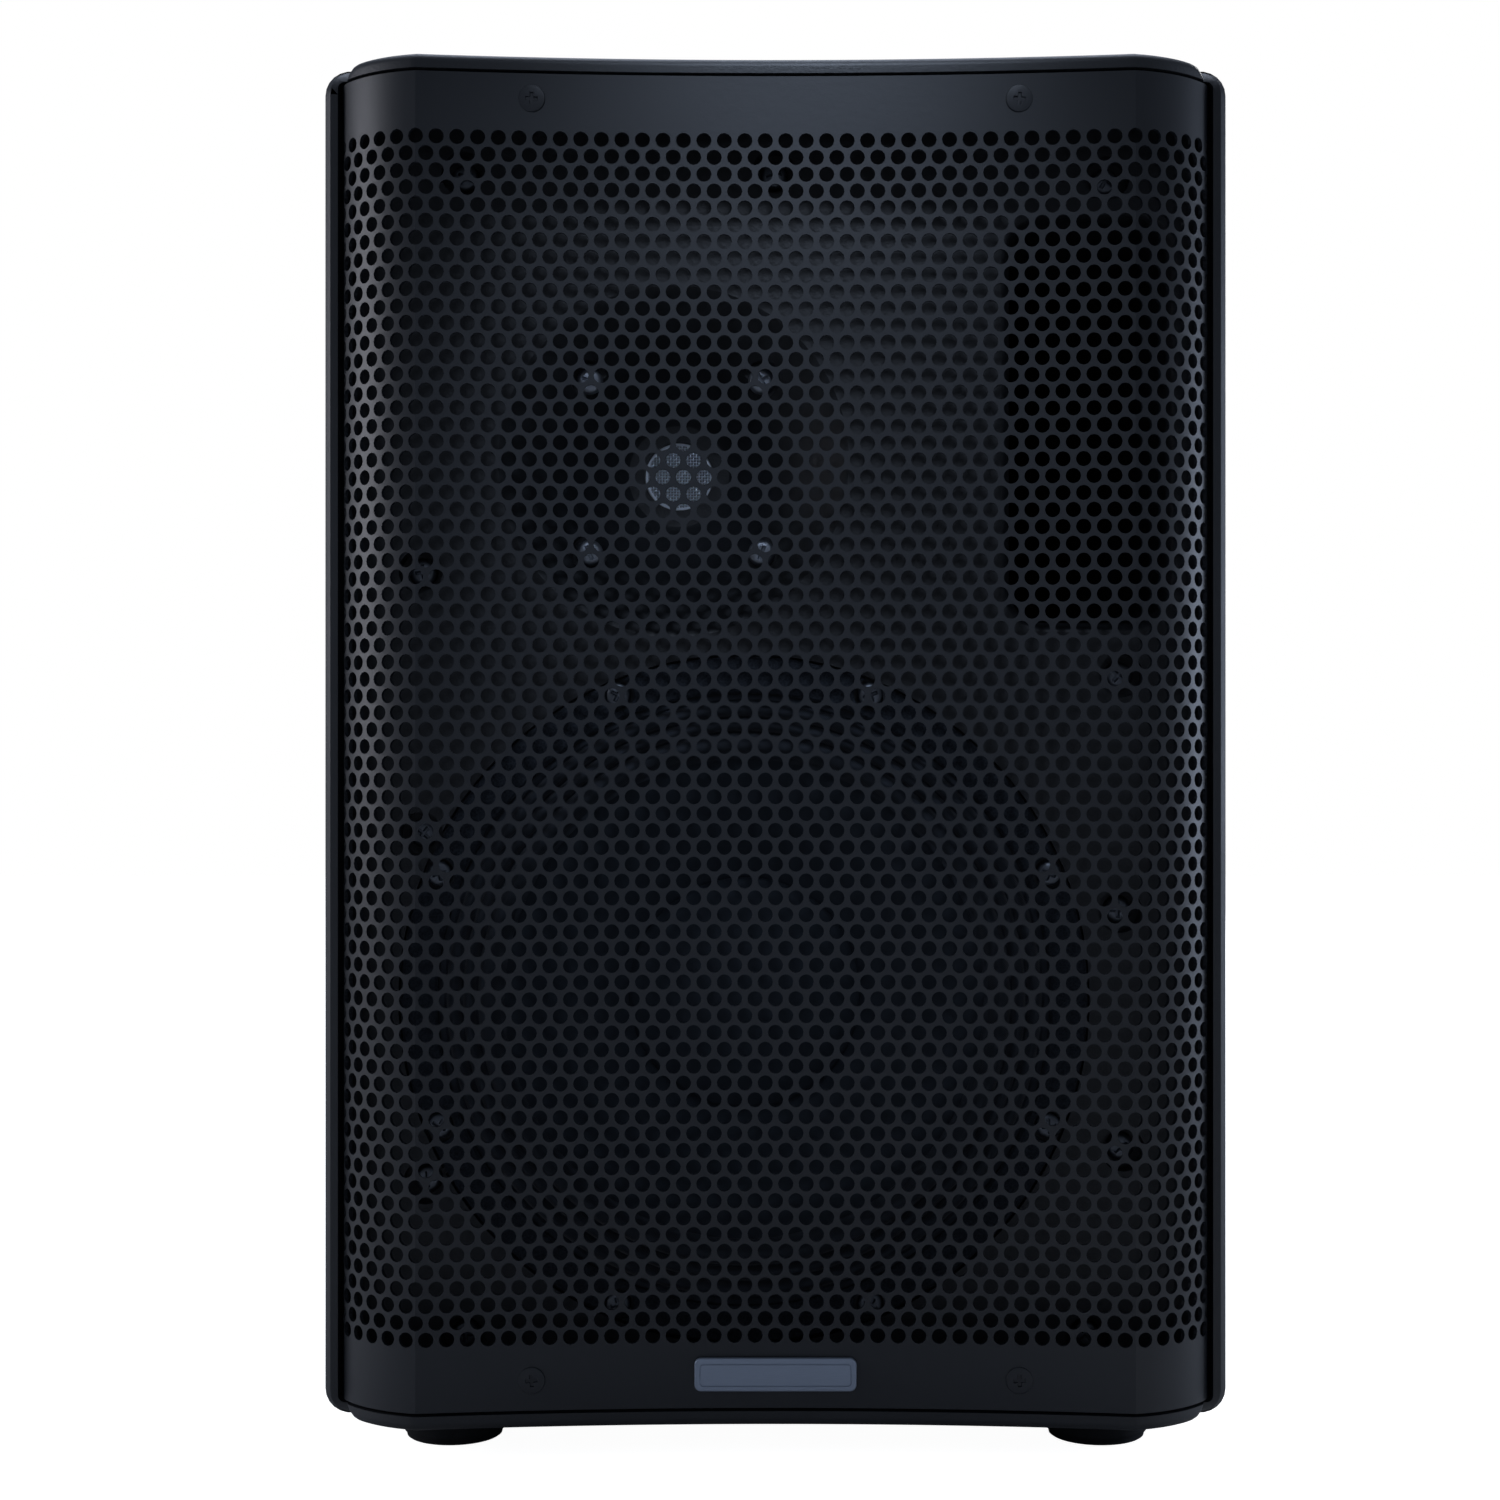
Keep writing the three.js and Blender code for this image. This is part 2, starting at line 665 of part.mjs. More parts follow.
function voiceCoil() {
  const neck = baffle + dustCapSetback + 8;
  return turned([
    [coilRadius - 0.7, neck], [coilRadius - 0.7, motorFront + 11], [coilRadius + 0.7, motorFront + 11],
    [coilRadius + 0.7, motorFront - 2], [coilRadius, motorFront - 2], [coilRadius, neck],
  ]);
}

function ring(inner, outer, y) {
  return turned([[inner, y[0]], [outer, y[0]], [outer, y[1]], [inner, y[1]]]);
}

function wooferYoke() {
  const pole = coilRadius - 1.3;
  return turned([
    [5, motorFront - 2], [pole, motorFront - 2], [pole, yokeFront],
    [topPlateRadius, yokeFront], [topPlateRadius, motorBack], [5, motorBack],
  ]);
}

// ---- Compression driver, turned round the horn's axis ----

function throatScreen() {
  return disc(throatRadius - gap, [hornBack - 2.2, hornBack - 1.4], [0, 0], 24);
}

function driverFrontPlate() {
  const pole = driverCoilRadius - 1;
  const poleEnd = driverTopPlateFront + driverTopPlate;
  return turned([
    [throatRadius - 1.5, driverFront], [driverRadius, driverFront],
    [driverRadius, driverFront + driverPlate], [pole, driverFront + driverPlate],
    [pole, poleEnd], [throatRadius - 4.5, poleEnd],
  ]);
}

function driverDiaphragm() {
  const [coil, seat] = [driverCoilRadius, driverDomeFront + 0.6];
  return turned([
    [coil - 0.4, seat - 4.5], [coil + 0.4, seat - 4.5], [coil + 0.4, seat - 0.4], [27, seat - 0.4],
    [27, seat + 0.4], [coil, seat + 0.4], [12, seat + 4], [6, seat + 5.4], [0, seat + 5.8],
    [0, seat + 5], [6, seat + 4.6], [12, seat + 3.2], [coil - 0.4, seat - 0.4],
  ], 18);
}

function driverRearCover() {
  const rimFace = driverDomeFront;
  const end = rimFace + driverCoverDepth;
  return turned([
    [driverRadius - 5, rimFace], [driverRadius - 5, end - 4], [driverRadius - 9, end], [0, end],
    [0, end - 2.5], [driverRadius - 10, end - 2.5], [driverRadius - 8, end - 5],
    [driverRadius - 8, rimFace],
  ]);
}

// ---- Port, pole socket and inserts ----

function portDuct() {
  const start = baffle + portFlareDepth + 3 + gap;
  const end = baffle + portLength;
  const [wide, high] = portSize;
  const shape = (grow) => roundedRect(wide + 2 * grow, high + 2 * grow, portCorner + grow, [portX, portZ]);
  return joined([slab(shape(portWall), [start, end]), slab(shape(portWall + 1), [start, start + 3])])
    .subtract(slab(shape(0), [start - 1, end + 1]));
}

function poleSocket() {
  const outer = poleSocketBore + poleSocketWall;
  const top = floor + poleSocketDepth + poleSocketWall;
  const flangeTop = floor - gap;
  const flangeBottom = flangeTop - poleSocketFlangeThickness;
  return joined([
    post(outer, [flangeBottom, top], [0, 0], 16),
    post(poleSocketFlange, [flangeBottom, flangeTop], [0, 0], 16),
  ]).subtract(post(poleSocketBore, [0, floor + poleSocketDepth], [0, 0], 16));
}

// A threaded insert with its open end at z = 0, pointing up.
function threadedInsert() {
  return post(insertRadius, [-insertLength, -gap]).subtract(post(insertBore, [-insertLength + 3, 1]));
}

// ---- Amplifier ----

function ampPanel() {
  const [wide, high] = panelSize;
  const through = [panelBack - 1, panelFace + 1];
  const plate = slab(roundedRect(wide, high, 4, [0, panelZ]), [panelBack, panelFace]);
  const window = ([x, z], [w, h]) =>
    block([x - w / 2 - gap, x + w / 2 + gap], through, [z - h / 2 - gap, z + h / 2 + gap]);
  return cut(plate, [
    ...Object.values(knobSpots).map((spot) => disc(shaftRadius + 0.6, through, spot)),
    ...[...inputSpots, mixSpot].map((spot) => disc(jackRadius + gap, through, spot)),
    disc(4.3, through, auxSpot),
    window(slotSpot, slotSize),
    window(inletSpot, [inletCavity[0] + 4, inletCavity[1] + 4]),
    window(switchSpot, switchThroat.map((size) => size + 2 * switchWall)),
  ]);
}

function heatSink() {
  const [wide, high] = heatSinkSize;
  const start = panelFace + gap;
  const base = block([-wide / 2, wide / 2], [start, start + heatSinkBase], [-high / 2, high / 2]);
  const pitch = (wide - finThickness) / (heatSinkFins - 1);
  const fins = Array.from({ length: heatSinkFins }, (_, i) => {
    const x = -wide / 2 + i * pitch;
    return block([x, x + finThickness], [start + heatSinkBase - 0.5, back - 0.5], [-high / 2, high / 2]);
  });
  return joined([base, ...fins]);
}

// A grip with a raised pointer, on a shaft that goes in through the panel.
function knob() {
  const start = panelFace + 1;
  const end = start + knobLength;
  return joined([
    turned([
      [0, start], [knobRadius, start], [knobRadius, start + 1.6], [knobRadius - 1.2, start + 2],
      [knobRadius - 2.4, end], [0, end],
    ], 12),
    block([-0.7, 0.7], [start + 2, end + 0.4], [1.5, knobRadius - 0.6]),
    disc(shaftRadius, [panelBack - 5, start + 1]),
  ]);
}

// The plate of a connector or switch, on the face of the panel.
function facePlate([wide, high, thick], corner) {
  return slab(roundedRect(wide, high, corner), [panelFace + gap, panelFace + gap + thick]);
}

function inputJack() {
  const face = panelFace + gap + jackPlate[2];
  const hollow = turned([
    [0, panelBack - jackDepth + 3], [3.5, panelBack - jackDepth + 3], [3.5, face - 2.5],
    [9, face - 2.5], [9, face + 1], [0, face + 1],
  ], 12);
  return joined([facePlate(jackPlate, 3), disc(jackRadius, [panelBack - jackDepth, face])])
    .subtract(hollow);
}

function mixOutputJack() {
  const face = panelFace + gap + jackPlate[2];
  const floorY = face - 15;
  const pins = around(3, 3.8, Math.PI / 6).map((spot) => disc(1.2, [floorY - 1, face - 5.2], spot, 6));
  return joined([facePlate(jackPlate, 3), disc(jackRadius, [panelBack - jackDepth, face])])
    .subtract(disc(9.4, [floorY, face + 1]))
    .add(joined(pins));
}

function auxJack() {
  const face = panelFace + gap + 1.2;
  return joined([disc(6, [panelFace + gap, face]), disc(4, [panelBack - 9, face])])
    .subtract(disc(1.8, [panelBack - 7, face + 1], [0, 0], 8));
}

function powerInlet() {
  const face = panelFace + gap + inletPlate[2];
  const [wide, high, deep] = inletCavity;
  const body = slab(roundedRect(wide + 4, high + 4, 3), [face - deep - 2.5, face]);
  const cavity = slab(roundedRect(wide, high, 2.5), [face - deep, face + 1]);
  const blades = [[-7, -2], [0, 2], [7, -2]].map(([x, z]) =>
    block([x - 1, x + 1], [face - deep - 1, face - 5.5], [z - 2, z + 2]));
  return joined([facePlate(inletPlate, 3), body]).subtract(cavity).add(joined(blades));
}

function switchFrame() {
  const face = panelFace + gap + switchPlate[2];
  const [wide, high] = switchThroat;
  const body = block(
    [-wide / 2 - switchWall, wide / 2 + switchWall], [panelBack - 12, face],
    [-high / 2 - switchWall, high / 2 + switchWall]);
  const throat = block([-wide / 2, wide / 2], [panelBack - 10, face + 1], [-high / 2, high / 2]);
  return joined([facePlate(switchPlate, 2), body]).subtract(throat);
}

// The rocker in its "off" position, turned about the X axis through its own origin.
function rocker() {
  const reach = switchThroat[1] / 2 - 1.4;
  const side = [[-reach, 5.5], [0, 4.2], [reach, 5.5], [reach - 1.5, -2], [1.5 - reach, -2]];
  const bar = new THREE.ExtrudeGeometry(
    polygon(side), { depth: switchThroat[0] - 2 * gap, bevelEnabled: false });
  bar.translate(0, 0, gap - switchThroat[0] / 2);
  // The outline is drawn as [z, y]; this lays it along X.
  bar.applyMatrix4(new THREE.Matrix4().set(0, 0, 1, 0, 0, 1, 0, 0, -1, 0, 0, 0, 0, 0, 0, 1));
  return solid(bar.rotateX(-rockerTilt));
}

function slideButton() {
  const [wide, high] = [slotSize[0] - 2 * gap, slotSize[1] - slideTravel - 2 * gap];
  const low = -slotSize[1] / 2 + gap;
  return joined([
    block([-wide / 2, wide / 2], [panelBack - 1, panelFace + 2.5], [low, low + high]),
    block([-wide / 2 - 1.5, wide / 2 + 1.5], [panelBack - 2, panelBack - gap], [low - 1, low + high + 1]),
  ]);
}

function ampChassis() {
  const x = chassisHalfWidth;
  const z = [chassisBottom, chassisTop];
  const sides = [-1, 1].map((side) => {
    const reach = [side * x, side * (x - chassisSheet)].sort((a, b) => a - b);
    return block(reach, [chassisBack, panelBack - gap], z);
  });
  return joined([block([-x, x], [chassisBack, chassisBack + chassisSheet], z), ...sides]);
}

// Capacitors, a choke and the power stage's clip stand on the board.
function mainBoard() {
  const x = chassisHalfWidth - 6;
  const y = chassisBack + chassisSheet + 5;
  const [low, high] = [chassisBottom + 50, chassisTop - 4];
  const top = y + boardThickness - 0.2;
  const capacitors = [[-30, 20], [-30, 50], [-8, 20], [-8, 50]].map(([cx, cz]) =>
    disc(8, [y + boardThickness - 0.2, y + 22], [cx, low + cz], 8));
  return joined([
    block([-x, x], [y, y + boardThickness], [low, high]), ...capacitors,
    block([16, 40], [top, y + 14], [low + 12, low + 62]),
    block([-40, 36], [top, y + 8], [high - 34, high - 12]),
  ]);
}

function controlBoard() {
  const y = panelBack - 5 - gap;
  const [plateBack, low] = [y - 17, panelTop - 156];
  const boxes = Object.values(knobSpots).map(([x, z]) =>
    block([x - 8, x + 8], [plateBack, y], [z - 8, z + 8]));
  return joined([
    block([-52, 52], [plateBack - boardThickness, plateBack + 0.2], [low, panelTop - 14]), ...boxes]);
}

function transformer() {
  const y = [chassisBack + chassisSheet + gap, chassisBack + 36];
  const z = chassisBottom + 25;
  return joined([
    block([-30, 30], [y[0], y[1] - 6], [z - 20, z + 20]),
    slab(roundedRect(40, 30, 8, [0, z]), [y[0] + 1, y[1]]),
  ]);
}

// ---- Wires and lining ----

function cable(points, radius) {
  const path = new THREE.CatmullRomCurve3(points.map((p) => new THREE.Vector3(...p)));
  const section = new THREE.Shape().absarc(0, 0, radius, 0, 2 * Math.PI);
  return solid(new THREE.ExtrudeGeometry(section, { steps: 12, extrudePath: path, curveSegments: 4 }));
}

function wooferCable() {
  const start = chassisBack - 0.6;
  return cable([
    [40, start, chassisBottom + 59], [40, start - 14, chassisBottom + 59], [66, motorBack + 6, wooferZ + 6],
    [68, magnetFront, wooferZ], [66, motorFront - 6, wooferZ],
  ], 2.5);
}

function driverCable() {
  const start = chassisBack - 0.6;
  const end = driverDomeFront + driverCoverDepth + 0.6;
  return cable([
    [-40, start, hornZ - 30], [-40, start - 14, hornZ - 30], [-48, (start + end) / 2, hornZ - 12],
    [hornX - 20, end + 12, hornZ], [hornX - 20, end, hornZ],
  ], 2);
}

function dampingPad() {
  const reach = back - gripDepth - wall;
  return slab(roundedRect(2 * gripHalfWidth + 16, 76, 10, [0, gripBottom + 26]), [reach - 24, reach - 1]);
}

// ---- Materials ----

const finish = (color, roughness, metalness) =>
  new THREE.MeshStandardMaterial({ color, roughness, metalness });
const mouldedBlack = finish(0x17181a, 0.62, 0);
const powderCoat = finish(0x1b1d22, 0.5, 0.2);
const blackSteel = finish(0x1c1c1e, 0.42, 0.8);
const zincSteel = finish(0xa9adb2, 0.35, 1);
const ferrite = finish(0x2a2a2c, 0.8, 0);
const paper = finish(0x121212, 0.85, 0);
const rubber = finish(0x101011, 0.9, 0);
const foam = finish(0x3a3c40, 0.95, 0);
const aluminium = finish(0x2b2d30, 0.45, 0.9);
const copper = finish(0xb0693a, 0.4, 1);
const brass = finish(0xb08d4c, 0.35, 1);
const circuitBoard = finish(0x1f5a38, 0.6, 0);
const silverPlate = finish(0x8a919c, 0.35, 0.7);
const wadding = finish(0xcfcfc8, 1, 0);
const mesh = finish(0x5a5c5e, 0.5, 0.9);

// ---- Assembly ----

const cabinet = new THREE.Group();

function place(group, name, body, material, [x, y, z] = [0, 0, 0]) {
  const piece = new THREE.Mesh(geometryOf(body), material);
  piece.name = name;
  piece.position.set(x, y, z);
  group.add(piece);
}

function subgroup(x, z) {
  const group = new THREE.Group();
  group.position.set(x, 0, z);
  cabinet.add(group);
  return group;
}

place(cabinet, "front_shell", frontShell(), mouldedBlack);
place(cabinet, "rear_shell", rearShell(), mouldedBlack);
place(cabinet, "shell_gasket", shellGasket(), foam);
place(cabinet, "grille", grille(), powderCoat);
place(cabinet, "badge", badge(), silverPlate, [0, 0, grilleScrewZ[0] + 1.3]);
grilleScrewSpots().forEach(([x, z, y], i) =>
  place(cabinet, `grille_screw_${i + 1}`, screw(grilleScrewRadius, 2.2, 2, 16), blackSteel, [x, y - 0.5, z]));
for (const [name, x, y] of feet) place(cabinet, name, foot(), rubber, [x, y, 0]);

const woofer = subgroup(wooferX, wooferZ);
place(woofer, "woofer_basket", wooferBasket(), blackSteel);
place(woofer, "woofer_gasket", wooferGasket(), foam);
place(woofer, "woofer_surround", wooferSurround(), rubber);
place(woofer, "woofer_cone", wooferCone(), paper);
place(woofer, "woofer_dust_cap", dustCap(), paper);
place(woofer, "woofer_spider", wooferSpider(), wadding);
place(woofer, "voice_coil", voiceCoil(), copper);
place(woofer, "woofer_top_plate",
  ring(coilRadius + 1.5, topPlateRadius, [motorFront, magnetFront - gap]), zincSteel);
place(woofer, "woofer_magnet", ring(30, magnetRadius, [magnetFront, yokeFront - gap]), ferrite);
place(woofer, "woofer_yoke", wooferYoke(), zincSteel);
const wooferScrew = screw(wooferScrewRadius, 2.6, 2, 8);
wooferScrewSpots().forEach(([x, z], i) =>
  place(woofer, `woofer_screw_${i + 1}`, wooferScrew, blackSteel, [x, basketFace - gap - 2.6, z]));

const compressionDriver = subgroup(hornX, hornZ);
place(compressionDriver, "throat_screen", throatScreen(), mesh);
place(compressionDriver, "hf_front_plate", driverFrontPlate(), zincSteel);
place(compressionDriver, "hf_magnet",
  ring(22, driverRadius - 3, [driverMagnetFront, driverTopPlateFront - gap]), ferrite);
place(compressionDriver, "hf_top_plate",
  ring(driverCoilRadius + 1, driverRadius - 3, [driverTopPlateFront, driverDomeFront - gap]), zincSteel);
place(compressionDriver, "hf_diaphragm", driverDiaphragm(), aluminium);
place(compressionDriver, "hf_rear_cover", driverRearCover(), mouldedBlack);

place(cabinet, "port_duct", portDuct(), mouldedBlack);
place(cabinet, "pole_socket", poleSocket(), mouldedBlack, [0, poleY, 0]);
place(cabinet, "top_insert", threadedInsert(), brass, [0, poleY, height]);

place(cabinet, "amp_panel", ampPanel(), powderCoat);
place(cabinet, "heat_sink", heatSink(), aluminium, [0, 0, heatSinkZ]);
place(cabinet, "amp_chassis", ampChassis(), zincSteel);
place(cabinet, "main_board", mainBoard(), circuitBoard);
place(cabinet, "control_board", controlBoard(), circuitBoard);
place(cabinet, "transformer", transformer(), copper);
const onPanel = (name, body, material, [x, z], y = 0) =>
  place(cabinet, name, body, material, [x, y, z]);
onPanel("preset_knob", knob(), mouldedBlack, knobSpots.preset);
onPanel("gain_knob_a", knob(), mouldedBlack, knobSpots.gainA);
onPanel("gain_knob_b", knob(), mouldedBlack, knobSpots.gainB);
onPanel("input_jack_a", inputJack(), mouldedBlack, inputSpots[0]);
onPanel("input_jack_b", inputJack(), mouldedBlack, inputSpots[1]);
onPanel("mix_output_jack", mixOutputJack(), mouldedBlack, mixSpot);
onPanel("aux_jack", auxJack(), mouldedBlack, auxSpot);
onPanel("mic_line_switch", slideButton(), mouldedBlack, slotSpot);
onPanel("power_inlet", powerInlet(), mouldedBlack, inletSpot);
onPanel("power_switch_frame", switchFrame(), mouldedBlack, switchSpot);
onPanel("power_rocker", rocker(), mouldedBlack, switchSpot, panelBack - 0.5);

place(cabinet, "woofer_cable", wooferCable(), rubber);
place(cabinet, "hf_cable", driverCable(), rubber);
place(cabinet, "damping_pad", dampingPad(), wadding);

export default cabinet;
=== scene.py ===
import math
import bmesh
import bpy
from mathutils import Matrix, Vector, noise


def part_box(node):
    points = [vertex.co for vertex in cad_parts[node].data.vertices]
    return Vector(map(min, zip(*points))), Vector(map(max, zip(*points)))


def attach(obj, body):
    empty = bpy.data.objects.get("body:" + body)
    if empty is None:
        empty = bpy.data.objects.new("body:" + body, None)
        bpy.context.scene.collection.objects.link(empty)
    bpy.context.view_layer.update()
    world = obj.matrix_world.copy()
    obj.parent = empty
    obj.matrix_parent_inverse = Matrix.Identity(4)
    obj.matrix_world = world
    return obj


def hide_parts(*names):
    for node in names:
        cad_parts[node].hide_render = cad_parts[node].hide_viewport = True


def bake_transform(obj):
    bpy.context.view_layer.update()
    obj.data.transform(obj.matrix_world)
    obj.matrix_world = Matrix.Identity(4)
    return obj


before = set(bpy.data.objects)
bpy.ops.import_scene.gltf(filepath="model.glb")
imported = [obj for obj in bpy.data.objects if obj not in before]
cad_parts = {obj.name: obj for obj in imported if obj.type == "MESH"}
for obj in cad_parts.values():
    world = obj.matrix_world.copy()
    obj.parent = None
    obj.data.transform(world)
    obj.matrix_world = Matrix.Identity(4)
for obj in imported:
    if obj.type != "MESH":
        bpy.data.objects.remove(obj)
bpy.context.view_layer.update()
mm = 0.001

camera = {
    "place": (0.0, -0.8674, 0.2127),
    "lens": 59.52,
    "sensor": 36.0,
    "shift": (-0.0170, -0.0063),
}


def addCamera(view):
    data = bpy.data.cameras.new("camera")
    data.lens, data.sensor_width = view["lens"], view["sensor"]
    data.shift_x, data.shift_y = view["shift"]
    data.clip_start = 0.01
    made = bpy.data.objects.new("camera", data)
    made.location = view["place"]
    made.rotation_euler = (math.pi / 2, 0, 0)
    bpy.context.scene.collection.objects.link(made)
    bpy.context.scene.camera = made


addCamera(camera)
print("camera placed")


# Shader wiring: a Wire is one socket, a Finish is one material.

class Wire:
    def __init__(self, finish, socket):
        self.finish, self.socket = finish, socket

    def __add__(self, other):
        return self.finish.maths("ADD", self, other)

    def __sub__(self, other):
        return self.finish.maths("SUBTRACT", self, other)

    def __rsub__(self, other):
        return self.finish.maths("SUBTRACT", other, self)

    def __mul__(self, other):
        return self.finish.maths("MULTIPLY", self, other)

    __radd__ = __add__
    __rmul__ = __mul__


class Finish:
    def __init__(self, name, **shader):
        self.material = bpy.data.materials.new(name)
        self.material.use_nodes = True
        self.tree = self.material.node_tree
        self.shader = self.tree.nodes["Principled BSDF"]
        self.set(**shader)
        self.place = self.node("ShaderNodeTexCoord", output="Object")

    # Sockets by their names without spaces: baseColor, roughness, metallic, coatWeight.
    def set(self, **values):
        for key, value in values.items():
            wanted = key.lower()
            socket = next(s for s in self.shader.inputs if s.name.replace(" ", "").lower() == wanted)
            self.plug(socket, value)
        return self

    def plug(self, socket, value):
        if isinstance(value, Wire):
            self.tree.links.new(value.socket, socket)
        elif isinstance(value, tuple) and len(value) == 3 and socket.type == "RGBA":
            socket.default_value = (*value, 1)
        else:
            socket.default_value = value

    def node(self, kind, settings=None, values=None, output=0):
        made = self.tree.nodes.new(kind)
        for key, value in (settings or {}).items():
            if key == "stops":
                ramp = made.color_ramp
                ramp.elements[0].position, ramp.elements[1].position = value[0][0], value[-1][0]
                for place, _ in value[1:-1]:
                    ramp.elements.new(place)
                for element, (_, shade) in zip(ramp.elements, value):
                    element.color = (shade, shade, shade, 1)
            else:
                setattr(made, key, value)
        for key, value in (values or {}).items():
            self.plug(made.inputs[key], value)
        return Wire(self, made.outputs[output])

    def maths(self, operation, a, b=0.0):
        return self.node("ShaderNodeMath", {"operation": operation}, {0: a, 1: b})

    def vector(self, operation, a, b):
        return self.node("ShaderNodeVectorMath", {"operation": operation}, {0: a, 1: b})

    def blend(self, factor, a, b):
        return self.node("ShaderNodeMix", {"data_type": "RGBA"}, {0: factor, 6: a, 7: b}, 2)

    def noise(self, scale, detail=2.0, roughness=0.5, stretch=None):
        place = self.vector("MULTIPLY", self.place, stretch) if stretch else self.place
        return self.node("ShaderNodeTexNoise", {}, {
            "Vector": place, "Scale": scale, "Detail": detail, "Roughness": roughness})

    def cells(self, scale, feature="F1", output="Distance", stretch=None):
        place = self.vector("MULTIPLY", self.place, stretch) if stretch else self.place
        return self.node("ShaderNodeTexVoronoi", {"feature": feature}, {
            "Vector": place, "Scale": scale}, output)

    def ramp(self, value, *stops):
        return self.node("ShaderNodeValToRGB", {"stops": stops}, {0: value})

    def axes(self):
        split = self.node("ShaderNodeSeparateXYZ", {}, {0: self.place})
        return [Wire(self, s) for s in split.socket.node.outputs]

    def bump(self, height, distance, strength=1.0):
        self.set(normal=self.node("ShaderNodeBump", {}, {
            "Height": height, "Distance": distance * mm, "Strength": strength}))
        return self


moulded = {
    "dark": (0.0100, 0.0117, 0.0142),
    "light": (0.0150, 0.0172, 0.0206),
    "grain": 950,
    "grainDepth": 0.055,
    "gloss": 0.47,
}


def mouldedPlastic(name, recipe, tone=1.0):
    made = Finish(name, specularIorLevel=0.5)
    patches = made.noise(14, 4)
    made.set(baseColor=made.blend(
        patches, tuple(c * tone for c in recipe["dark"]), tuple(c * tone for c in recipe["light"])))
    pebbles = made.cells(recipe["grain"])
    fine = made.noise(recipe["grain"] * 2.1, 2)
    rubbed = made.ramp(made.noise(23, 5, 0.6), (0.42, 0.0), (0.75, 1.0))
    made.set(roughness=recipe["gloss"] + fine * 0.1 - rubbed * 0.05)
    return made.bump(pebbles * 0.7 + fine * 0.6, recipe["grainDepth"]).material


powder = {
    "dark": (0.0088, 0.0110, 0.0146),
    "light": (0.0112, 0.0135, 0.0172),
    "peel": 480,
    "peelDepth": 0.022,
    "gloss": 0.36,
}


def powderCoat(name, recipe):
    made = Finish(name, specularIorLevel=0.5)
    speck = made.noise(2600, 1)
    made.set(baseColor=made.blend(speck, recipe["dark"], recipe["light"]))
    peel = made.noise(recipe["peel"], 3)
    made.set(roughness=recipe["gloss"] + speck * 0.08 + made.noise(40, 3) * 0.05)
    return made.bump(peel + speck * 0.35, recipe["peelDepth"]).material


def brushedMetal(name, colour, gloss, along=(1, 60, 60), depth=0.012, metal=1.0):
    made = Finish(name, metallic=metal)
    lines = made.noise(190, 4, 0.6, along)
    made.set(baseColor=made.blend(lines, tuple(c * 0.8 for c in colour),
                                  tuple(min(1, c * 1.15) for c in colour)))
    made.set(roughness=gloss + lines * 0.16)
    return made.bump(lines, depth).material


def platedSteel(name, colour, gloss, spangle=0.0):
    made = Finish(name, metallic=0.95)
    clouds = made.noise(60, 4, 0.6)
    flakes = made.cells(95, "F1", "Color") if spangle else made.noise(300, 2)
    shade = made.blend(clouds, tuple(c * 0.82 for c in colour), colour)
    if spangle:
        grey = made.node("ShaderNodeRGBToBW", {}, {0: flakes})
        shade = made.blend(grey * spangle, shade, tuple(min(1, c * 1.3) for c in colour))
    made.set(baseColor=shade, roughness=gloss + clouds * 0.14)
    return made.bump(made.noise(900, 2), 0.008).material


def softRubber(name, colour, gloss=0.72, grain=800, depth=0.05):
    made = Finish(name, specularIorLevel=0.35)
    dust = made.ramp(made.noise(70, 5, 0.65), (0.45, 0.0), (0.8, 1.0))
    made.set(baseColor=made.blend(dust * 0.5, colour, tuple(c * 2.2 + 0.006 for c in colour)))
    made.set(roughness=gloss + made.noise(grain, 2) * 0.14)
    return made.bump(made.noise(grain, 3, 0.6), depth).material


def openFoam(name, colour):
    made = Finish(name, specularIorLevel=0.2)
    pores = made.cells(1400)
    made.set(baseColor=made.blend(pores, tuple(c * 0.45 for c in colour), colour), roughness=0.93)
    return made.bump(pores, 0.18).material


def wovenCloth(name, colour, pitch, gloss=0.8):
    made = Finish(name, specularIorLevel=0.25, sheenWeight=0.15)
    x, _, z = made.axes()
    turn = 2 * math.pi / (pitch * mm)
    warp = made.maths("SINE", x * turn)
    weft = made.maths("SINE", z * turn)
    weave = warp * weft * 0.5 + 0.5
    lint = made.noise(260, 4)
    made.set(baseColor=made.blend(weave * 0.7 + lint * 0.3, tuple(c * 0.55 for c in colour), colour))
    made.set(roughness=gloss + weave * 0.12)
    return made.bump(weave + lint * 0.3, 0.09).material


def pressedPaper(name, colour):
    made = Finish(name, specularIorLevel=0.3)
    fibres = made.noise(620, 5, 0.7, (1, 1, 0.25)) * 0.5 + made.noise(620, 5, 0.7, (0.25, 1, 1)) * 0.5
    made.set(baseColor=made.blend(fibres, tuple(c * 0.6 for c in colour),
                                  tuple(c * 1.5 for c in colour)))
    made.set(roughness=0.74 + fibres * 0.2)
    return made.bump(fibres, 0.12).material


def circuitBoard(name):
    made = Finish(name, coatWeight=0.4, coatRoughness=0.2)
    tracks = made.ramp(made.cells(310, "DISTANCE_TO_EDGE", "Distance"), (0.03, 1.0), (0.06, 0.0))
    pads = made.ramp(made.cells(420), (0.12, 1.0), (0.16, 0.0))
    board = made.blend(tracks, (0.012, 0.075, 0.03), (0.03, 0.16, 0.06))
    made.set(baseColor=made.blend(pads, board, (0.62, 0.6, 0.55)), metallic=pads * 0.9)
    made.set(roughness=0.42 - pads * 0.12)
    return made.bump(tracks, 0.03).material


